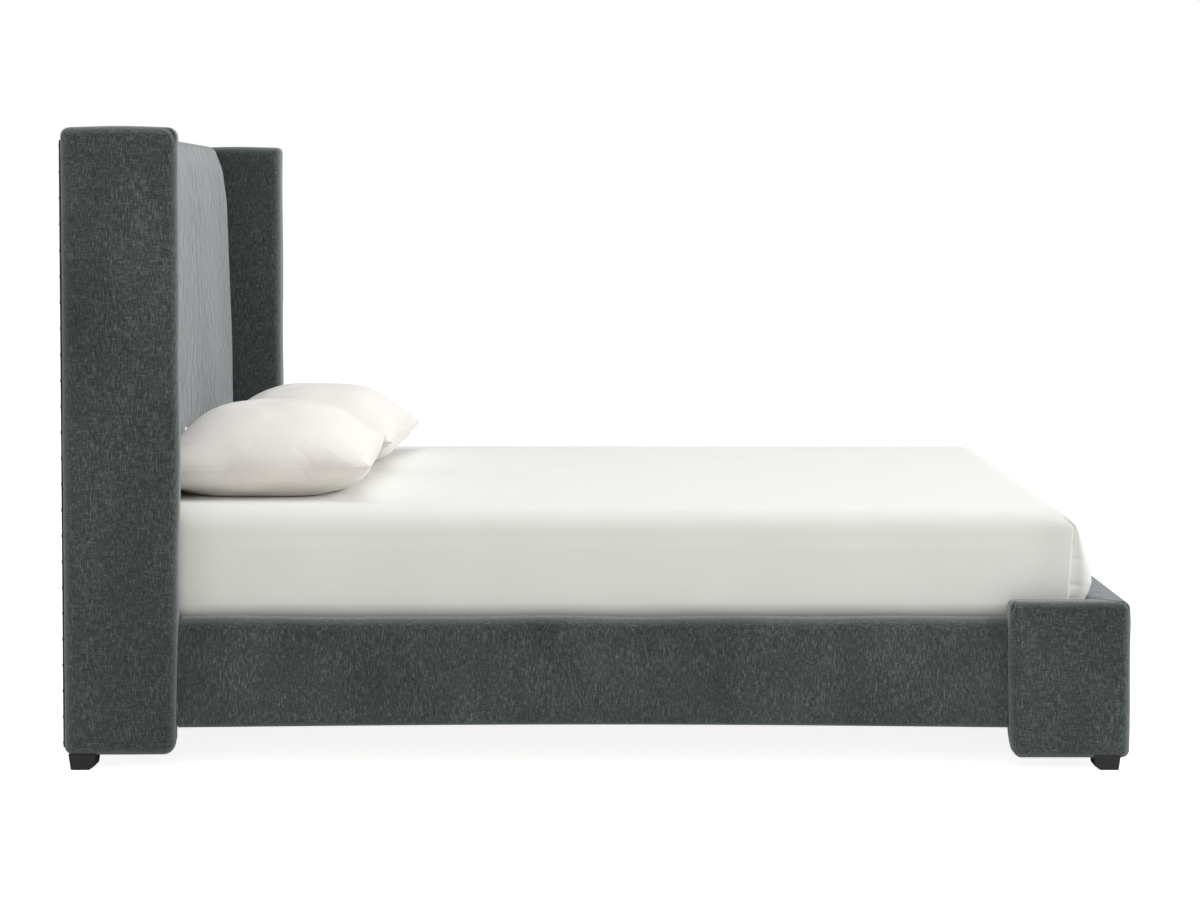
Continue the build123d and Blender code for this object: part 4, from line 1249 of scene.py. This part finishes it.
cloth_layer.thickness = CLOTH_THICK
cloth_layer.offset = 0
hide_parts("mattress_sheet")
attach(sheet, "mattress_body")
print("sheet:", len(sheet.data.polygons), "faces")

# %% [markdown]
# ## The pillows
# A pillow is two flat panels sewn together and filled until they stand apart. Its sides draw in
# between the corners, the corners stay pointed, and it flattens where it lies on the mattress.
# The form starts as two sheets of one grid that meet at the seam. Blender's cloth then inflates
# it a little against its own seam, which brings up the short creases round the corners.

# %% Pillow forms
SEAM_Z = 0.620
PILLOW_HALF = np.array([0.2555, 0.320])
DRAWN_IN = 0.018
UPPER_HEIGHT = 0.124
LOWER_DEPTH = 0.0985
FLAT_BELOW = 0.0747
PILLOW_FACES = (84, 100)


def pillow_points(corner_moves, fuller):
    """Two grids that share their edge, as points and faces, centred on the seam's middle."""
    count_x, count_y = PILLOW_FACES
    even_x, even_y = np.linspace(-1, 1, count_x + 1), np.linspace(-1, 1, count_y + 1)
    u = 0.45 * even_x + 0.55 * np.sin(math.pi / 2 * even_x)
    v = 0.45 * even_y + 0.55 * np.sin(math.pi / 2 * even_y)
    uu, vv = np.meshgrid(u, v, indexing="ij")
    x = uu * (PILLOW_HALF[0] - DRAWN_IN * (1 - vv**2) * uu**2)
    y = vv * (PILLOW_HALF[1] - DRAWN_IN * (1 - uu**2) * vv**2)
    along_bed = np.maximum(1 - uu**2, 0) ** (0.70 - 0.20 * uu)
    across_bed = np.maximum(1 - vv**2, 0) ** 0.58
    upper = UPPER_HEIGHT * along_bed * across_bed
    full = np.sqrt(np.maximum((1 - uu**2) * (1 - vv**2), 0))
    lower = -np.minimum(LOWER_DEPTH * full, FLAT_BELOW)
    sag = -0.004 * (1 - np.maximum(uu**2, vv**2) ** 4) * (1 - full)
    sag = sag - 0.012 * np.clip((0.6 - uu) / 1.6, 0, 1) * (1 - full)
    for place_u, height in fuller:
        upper = upper + height * np.exp(-(((uu - place_u) / 0.26) ** 2) - (vv / 0.55) ** 2)
    for corner_u, corner_v, lift, pull in corner_moves:
        closeness = np.clip((1 + corner_u * uu) / 2, 0, 1) * np.clip((1 + corner_v * vv) / 2, 0, 1)
        sag = sag + lift * closeness**7
        x = x - pull * closeness**1.6
    index = np.arange(x.size).reshape(x.shape)
    edge = np.zeros_like(index, bool)
    edge[[0, -1], :] = True
    edge[:, [0, -1]] = True
    under = index + index.size
    under[edge] = index[edge]
    panels = [np.stack([x, y, height + sag], -1).reshape(-1, 3) for height in (upper, lower)]
    faces = []
    for i in range(count_x):
        for j in range(count_y):
            faces.append((index[i, j], index[i + 1, j], index[i + 1, j + 1], index[i, j + 1]))
            faces.append((under[i, j], under[i, j + 1], under[i + 1, j + 1], under[i + 1, j]))
    used, packed = np.unique(np.array(faces), return_inverse=True)
    seam = np.concatenate([index[:-1, 0], index[-1, :-1], index[:0:-1, -1], index[0, :0:-1]])
    return np.concatenate(panels)[used], packed.reshape(-1, 4), np.searchsorted(used, seam)


print("faces in one pillow:", 2 * PILLOW_FACES[0] * PILLOW_FACES[1])

# %% [markdown]
# The simulation also makes a pillow rounder than the real one. So its result is compared with
# the form that it started from, the smooth part of the change is taken away, and the wrinkles
# stay. They fade out on the underside, where the pillow lies on the sheet.


# %% Pillow filling
def evened(piece, field, rounds):
    """A field of vectors on a piece's points, averaged with its neighbours many times."""
    edges = np.empty(len(piece.data.edges) * 2, dtype=np.int32)
    piece.data.edges.foreach_get("vertices", edges)
    first, second = edges.reshape(-1, 2).T
    count = np.bincount(edges, minlength=len(field))[:, None]
    for _ in range(rounds):
        total = np.zeros_like(field)
        for axis in range(3):
            total[:, axis] = np.bincount(first, field[second, axis], len(field))
            total[:, axis] += np.bincount(second, field[first, axis], len(field))
        field = 0.5 * field + 0.5 * total / count
    return field


CLOTH_SETTINGS = {
    "quality": 6,
    "mass": 0.3,
    "tension_stiffness": 12,
    "compression_stiffness": 12,
    "shear_stiffness": 4,
    "bending_stiffness": 0.12,
    "use_pressure": True,
    "uniform_pressure_force": 3.0,
    "shrink_min": -0.035,
}
FRAMES = 16
WRINKLE_SHARE = 0.40
WRINKLE_CAP = 0.006


def inflate(piece):
    """Blow a closed cloth up, then keep only its wrinkles, as a share and up to a cap."""
    start = read_points(piece)
    modifier = piece.modifiers.new("filling", "CLOTH")
    for setting, value in CLOTH_SETTINGS.items():
        setattr(modifier.settings, setting, value)
    modifier.settings.effector_weights.gravity = 0
    modifier.collision_settings.use_collision = False
    modifier.collision_settings.use_self_collision = False
    for number in range(1, FRAMES + 1):
        scene.frame_set(number)
    evaluated = piece.evaluated_get(bpy.context.evaluated_depsgraph_get())
    moved = read_points(evaluated)
    piece.modifiers.remove(modifier)
    scene.frame_set(1)
    shift = moved - start
    wrinkles = WRINKLE_SHARE * (shift - evened(piece, shift, 90))
    wrinkles *= np.clip((start[:, 2:] + 0.055) / 0.03, 0, 1)
    length = np.linalg.norm(wrinkles, axis=1, keepdims=True)
    write_points(piece, start + wrinkles * np.minimum(1, WRINKLE_CAP / np.maximum(length, 1e-9)))
    print(piece.name, "wrinkles up to", round(float(length.max()) * 1000, 1), "mm")


print("pillow helpers ready")

# %% [markdown]
# Short folds run inwards from each corner of a pillow, above and below the seam. The two pillows
# lie differently: corners are lifted and pulled, and the filling is fuller in other places.

# %% Pillows
CORNERS = ((-1, -1), (-1, 1), (1, -1), (1, 1))
FOLD_TURNS = (0.2, 0.42, 0.62, 0.8)
LIES_ABOVE = 0.0042
PILLOWS = {
    "left_pillow": (
        51,
        ((-1, 1, 0.054, 0.0), (1, 1, 0.018, 0.024), (1, -1, 0.003, 0.003)),
        ((-0.58, 0.014), (0.50, 0.012)),
    ),
    "right_pillow": (
        57,
        ((-1, -1, 0.032, 0.0), (1, -1, 0.0, 0.022), (1, 1, 0.004, 0.0)),
        ((0.60, 0.015), (0.20, -0.002)),
    ),
}


def make_pillow(name, middle, seed, corner_moves, fuller):
    """One filled pillow on the mattress, and the places of its seam among its points."""
    points, faces, seam = pillow_points(corner_moves, fuller)
    piece = make_piece(name, points, faces, pillow_cotton)
    points = read_points(piece)
    points += read_normals(piece) * (0.0014 * ripples(points, seed, 0.10))[:, None]
    write_points(piece, points)
    inflate(piece)
    points = read_points(piece)
    to_corner = np.hypot(*(PILLOW_HALF - np.abs(points[:, :2])).T)
    outward = points[:, :2] / np.linalg.norm(points[:, :2], axis=1, keepdims=True)
    points[seam, :2] -= 0.0004 * outward[seam] * np.clip(to_corner[seam, None] / 0.06, 0, 1)
    write_points(piece, points)
    on_seam = np.isin(np.arange(len(points)), seam)
    for edge in piece.data.edges:
        edge.use_edge_sharp = bool(on_seam[edge.vertices[0]] and on_seam[edge.vertices[1]])
    random = np.random.default_rng(seed)
    for corner_u, corner_v in CORNERS:
        corner = np.array([corner_u, corner_v]) * PILLOW_HALF
        for share in FOLD_TURNS:
            turn = share * math.pi / 2
            inward = -np.array([corner_u * math.cos(turn), corner_v * math.sin(turn)])
            near, far = corner + inward * 0.012, corner + inward * random.uniform(0.040, 0.075)
            for up in (1, -1):
                flat = np.array([near, (near + far) / 2, far])
                reach = np.linalg.norm(points[:, None, :2] - flat[None], axis=2)
                reach[read_normals(piece)[:, 2] * up < 0.1] = 9
                press(piece, points[reach.argmin(0)], 0.0042, 0.0018, 0.3)
    points = read_points(piece) + np.array(middle)
    points[:, 2] = np.maximum(points[:, 2], top_level + LIES_ABOVE)
    write_points(piece, points)
    return piece, seam


print("pillows to make:", *PILLOWS)

# %% [markdown]
# Where the two panels are sewn together, a thin ridge stands out. It follows the seam's own
# points, so it stays on the pillow whatever the filling does, and it is a closed tube of the
# same cloth.

# %% Both pillows and their seams
RIDGE_RADIUS = 0.0011


def seam_ridge(name, path, radius):
    """The sewn edge of a pillow, a thin closed tube of its own cloth along the seam."""
    ahead = np.roll(path, -1, axis=0) - np.roll(path, 1, axis=0)
    ahead /= np.linalg.norm(ahead, axis=1, keepdims=True)
    across = np.cross(ahead, (0, 0, 1))
    across /= np.linalg.norm(across, axis=1, keepdims=True)
    above = np.cross(across, ahead)
    turns = np.linspace(0, 2 * math.pi, 7)[:-1]
    points = [path + radius * (math.cos(t) * across + math.sin(t) * above) for t in turns]
    points = np.stack(points, 1).reshape(-1, 3)
    faces = []
    for i in range(len(path)):
        here, ahead = 6 * i, 6 * ((i + 1) % len(path))
        for j in range(6):
            beside = (j + 1) % 6
            faces.append((here + j, here + beside, ahead + beside, ahead + j))
    return make_piece(name, points, faces, pillow_cotton)


for name, shape in PILLOWS.items():
    low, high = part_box(name)
    middle = ((low.x + high.x) / 2, (low.y + high.y) / 2, SEAM_Z)
    piece, seam = make_pillow(f"{name}_filled", middle, *shape)
    dress(piece, f"{name}_body", "pillow_cotton", 0.75, name)
    ridge = seam_ridge(f"{name}_seam", read_points(piece)[seam], RIDGE_RADIUS)
    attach(ridge, f"{name}_body")
    print(piece.name, len(piece.data.polygons), "faces")

# %% [markdown]
# ## Staples round the back board
# The last job of an upholsterer is to close the back. A black board covers the raw edges of the
# velvet and is stapled on through its rim. One staple is a bowed length of wire, and a Geometry
# Nodes tree sets a copy at every few centimetres of the rim. The copies become a plain mesh.


# %% Staple tree
def staple_tree(name):
    """A tree that lays bowed wires along the edges of a loop."""
    inputs = {
        "Geometry": "Geometry",
        "Spacing": 0.06,
        "Crown": 0.010,
        "Wire Radius": 0.0006,
        "Bow": 0.0022,
        "Scatter": 0.12,
        "Seed": 7,
        "Material": "Material",
    }
    tree, given, result = new_group(name, inputs, {"Geometry": "Geometry"}, "GeometryNodeTree")

    def add(kind, inputs, **settings):
        """The first output of a new node in this tree."""
        return add_node(tree, kind, inputs, **settings).outputs[0]

    def vector(**parts):
        """A vector from its parts."""
        return add("ShaderNodeCombineXYZ", parts)

    path = add("GeometryNodeMeshToCurve", {"Mesh": given["Geometry"]})
    places = add_node(
        tree, "GeometryNodeCurveToPoints", {"Curve": path, "Length": given["Spacing"]}, mode="LENGTH"
    )
    half = math_node(tree, "MULTIPLY", given["Crown"], 0.5)
    minus = math_node(tree, "MULTIPLY", half, -1.0)
    bow = add(
        "GeometryNodeCurvePrimitiveBezierSegment",
        {
            "Resolution": 6,
            "Start": vector(X=minus),
            "Start Handle": vector(X=minus, Z=given["Bow"]),
            "End Handle": vector(X=half, Z=given["Bow"]),
            "End": vector(X=half),
        },
    )
    ring = add("GeometryNodeCurvePrimitiveCircle", {"Resolution": 5, "Radius": given["Wire Radius"]})
    wire = add("GeometryNodeCurveToMesh", {"Curve": bow, "Profile Curve": ring, "Fill Caps": True})
    low_turn = vector(X=math_node(tree, "MULTIPLY", given["Scatter"], -1.0))
    high_turn = vector(X=given["Scatter"])
    askew = add(
        "FunctionNodeRandomValue",
        {0: low_turn, 1: high_turn, "Seed": given["Seed"]},
        data_type="FLOAT_VECTOR",
    )
    facing = add("FunctionNodeAlignEulerToVector", {"Vector": places.outputs["Tangent"]}, axis="X")
    outward = add(
        "FunctionNodeAlignEulerToVector",
        {"Rotation": facing, "Vector": (-1.0, 0.0, 0.0)},
        axis="Z",
        pivot_axis="X",
    )
    turned = add(
        "FunctionNodeRotateEuler",
        {"Rotation": outward, "Rotate By": askew},
        rotation_type="EULER",
        space="OBJECT",
    )
    copies = add(
        "GeometryNodeInstanceOnPoints",
        {"Points": places.outputs["Points"], "Instance": wire, "Rotation": turned},
    )
    real = add("GeometryNodeRealizeInstances", {"Geometry": copies})
    painted = add("GeometryNodeSetMaterial", {"Geometry": real, "Material": given["Material"]})
    tree.links.new(painted, result["Geometry"])
    return tree


bowed_staples = staple_tree("bowed_staples")
print("tree", bowed_staples.name, "with", len(bowed_staples.nodes), "nodes")

# %% [markdown]
# The tree runs on a loop of four edges, nine millimetres in from the board's rim. Its result is
# read from the evaluated object and kept as a plain mesh, because the export drops instances.


# %% Staples
def grow(name, loop, tree, values):
    """Run a tree on a closed path and keep the result as a plain mesh object."""
    guide = bpy.data.meshes.new(f"{name}_path")
    guide.from_pydata(loop, [(i, (i + 1) % len(loop)) for i in range(len(loop))], [])
    holder = add_object(f"{name}_holder", guide)
    modifier = holder.modifiers.new("copies", "NODES")
    modifier.node_group = tree
    sockets = {item.name: item.identifier for item in tree.interface.items_tree if item.in_out == "INPUT"}
    for label, value in values.items():
        modifier[sockets[label]] = value
    evaluated = holder.evaluated_get(bpy.context.evaluated_depsgraph_get())
    mesh = bpy.data.meshes.new_from_object(evaluated)
    bpy.data.objects.remove(holder)
    mesh.shade_smooth()
    return add_object(name, mesh)


INTO_BOARD = 0.009
low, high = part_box("back_panel")
staple_x = low.x - BACK_PROUD - 0.0004
left, right = low.y + INTO_BOARD, high.y - INTO_BOARD
bottom, top = low.z + INTO_BOARD, high.z - INTO_BOARD
rim_path = [(staple_x, y, z) for y, z in ((left, bottom), (right, bottom), (right, top), (left, top))]
staple_sizes = {"Spacing": 0.055, "Crown": 0.011, "Material": zinc}
staples = grow("back_staples", rim_path, bowed_staples, staple_sizes)
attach(staples, "bed_frame")
print("staples:", len(staples.data.polygons), "faces")

# %% [markdown]
# ## Floor and background
# The photograph is a cut-out on white. The floor and the world are white to the camera, while
# the light that they give the object stays at a plain level, where a colour comes out about as
# it is written. The floor is clear from below, so the slats can be looked at.

# %% Floor and world
FLOOR_HALF = 30
corners = [(x * FLOOR_HALF, y * FLOOR_HALF, 0) for x, y in ((-1, -1), (1, -1), (1, 1), (-1, 1))]
floor_mesh = bpy.data.meshes.new("floor")
floor_mesh.from_pydata(corners, [], [(0, 1, 2, 3)])
floor = add_object("floor", floor_mesh)
floor_material = bpy.data.materials.new("white_floor")
floor_material.use_nodes = True
tree = floor_material.node_tree
tree.nodes.clear()


def mix_shaders(tree, share, first, second):
    """One of two shaders, or a share of both."""
    return add_node(tree, "ShaderNodeMixShader", {0: share, 1: first, 2: second}).outputs[0]


matt = add_node(tree, "ShaderNodeBsdfDiffuse", {"Color": (0.8, 0.8, 0.8, 1)}).outputs[0]
glow = add_node(tree, "ShaderNodeEmission", {"Color": (1, 1, 1, 1), "Strength": 0.88}).outputs[0]
both = add_node(tree, "ShaderNodeAddShader", {0: matt, 1: glow}).outputs[0]
rays = add_node(tree, "ShaderNodeLightPath").outputs
seen = mix_shaders(tree, rays["Is Camera Ray"], matt, both)
clear = add_node(tree, "ShaderNodeBsdfTransparent").outputs[0]
underside = add_node(tree, "ShaderNodeNewGeometry").outputs["Backfacing"]
add_node(tree, "ShaderNodeOutputMaterial", {"Surface": mix_shaders(tree, underside, seen, clear)})
floor_mesh.materials.append(floor_material)

world = bpy.data.worlds.new("studio")
world.use_nodes = True
scene.world = world
tree = world.node_tree
tree.nodes.clear()
light = {"Color": (1.0, 0.985, 0.955, 1), "Strength": 0.43}
white = {"Color": (1, 1, 1, 1), "Strength": 1.0}
light, white = (add_node(tree, "ShaderNodeBackground", look).outputs[0] for look in (light, white))
rays = add_node(tree, "ShaderNodeLightPath").outputs
shown = math_node(tree, "MAXIMUM", rays["Is Camera Ray"], rays["Is Glossy Ray"])
shown = math_node(tree, "MAXIMUM", shown, rays["Is Transmission Ray"])
add_node(tree, "ShaderNodeOutputWorld", {"Surface": mix_shaders(tree, shown, light, white)})
print("floor and world", floor.name, world.name)

# %% [markdown]
# ## Lamps
# One large soft lamp stands beyond the foot end, where the photograph's light comes from. One
# hangs above, and a weak one stands beside the camera. Each is a square, aimed by turning its
# own Z axis away from the place that it lights.

# %% Lamps
LAMPS = (
    ("foot_end_lamp", (5.6, -1.2, 3.3), (-0.6, 0.0, 0.7), 3.2, 215, (0.97, 0.985, 1.0)),
    ("overhead_lamp", (-0.2, -0.2, 4.2), (-0.2, 0.0, 0.0), 3.2, 58, (0.96, 0.98, 1.0)),
    ("camera_side_lamp", (-0.6, -5.2, 2.4), (0.0, 0.0, 0.6), 2.6, 34, (1.0, 0.96, 0.89)),
)
for name, place, target, size, power, tint in LAMPS:
    lamp_data = bpy.data.lights.new(name, "AREA")
    lamp_data.shape = "SQUARE"
    lamp_data.size = size
    lamp_data.energy = power
    lamp_data.color = tint
    lamp = add_object(name, lamp_data)
    lamp.location = place
    lamp.rotation_euler = (Vector(place) - Vector(target)).to_track_quat("Z", "Y").to_euler()
print("lamps:", len(LAMPS))
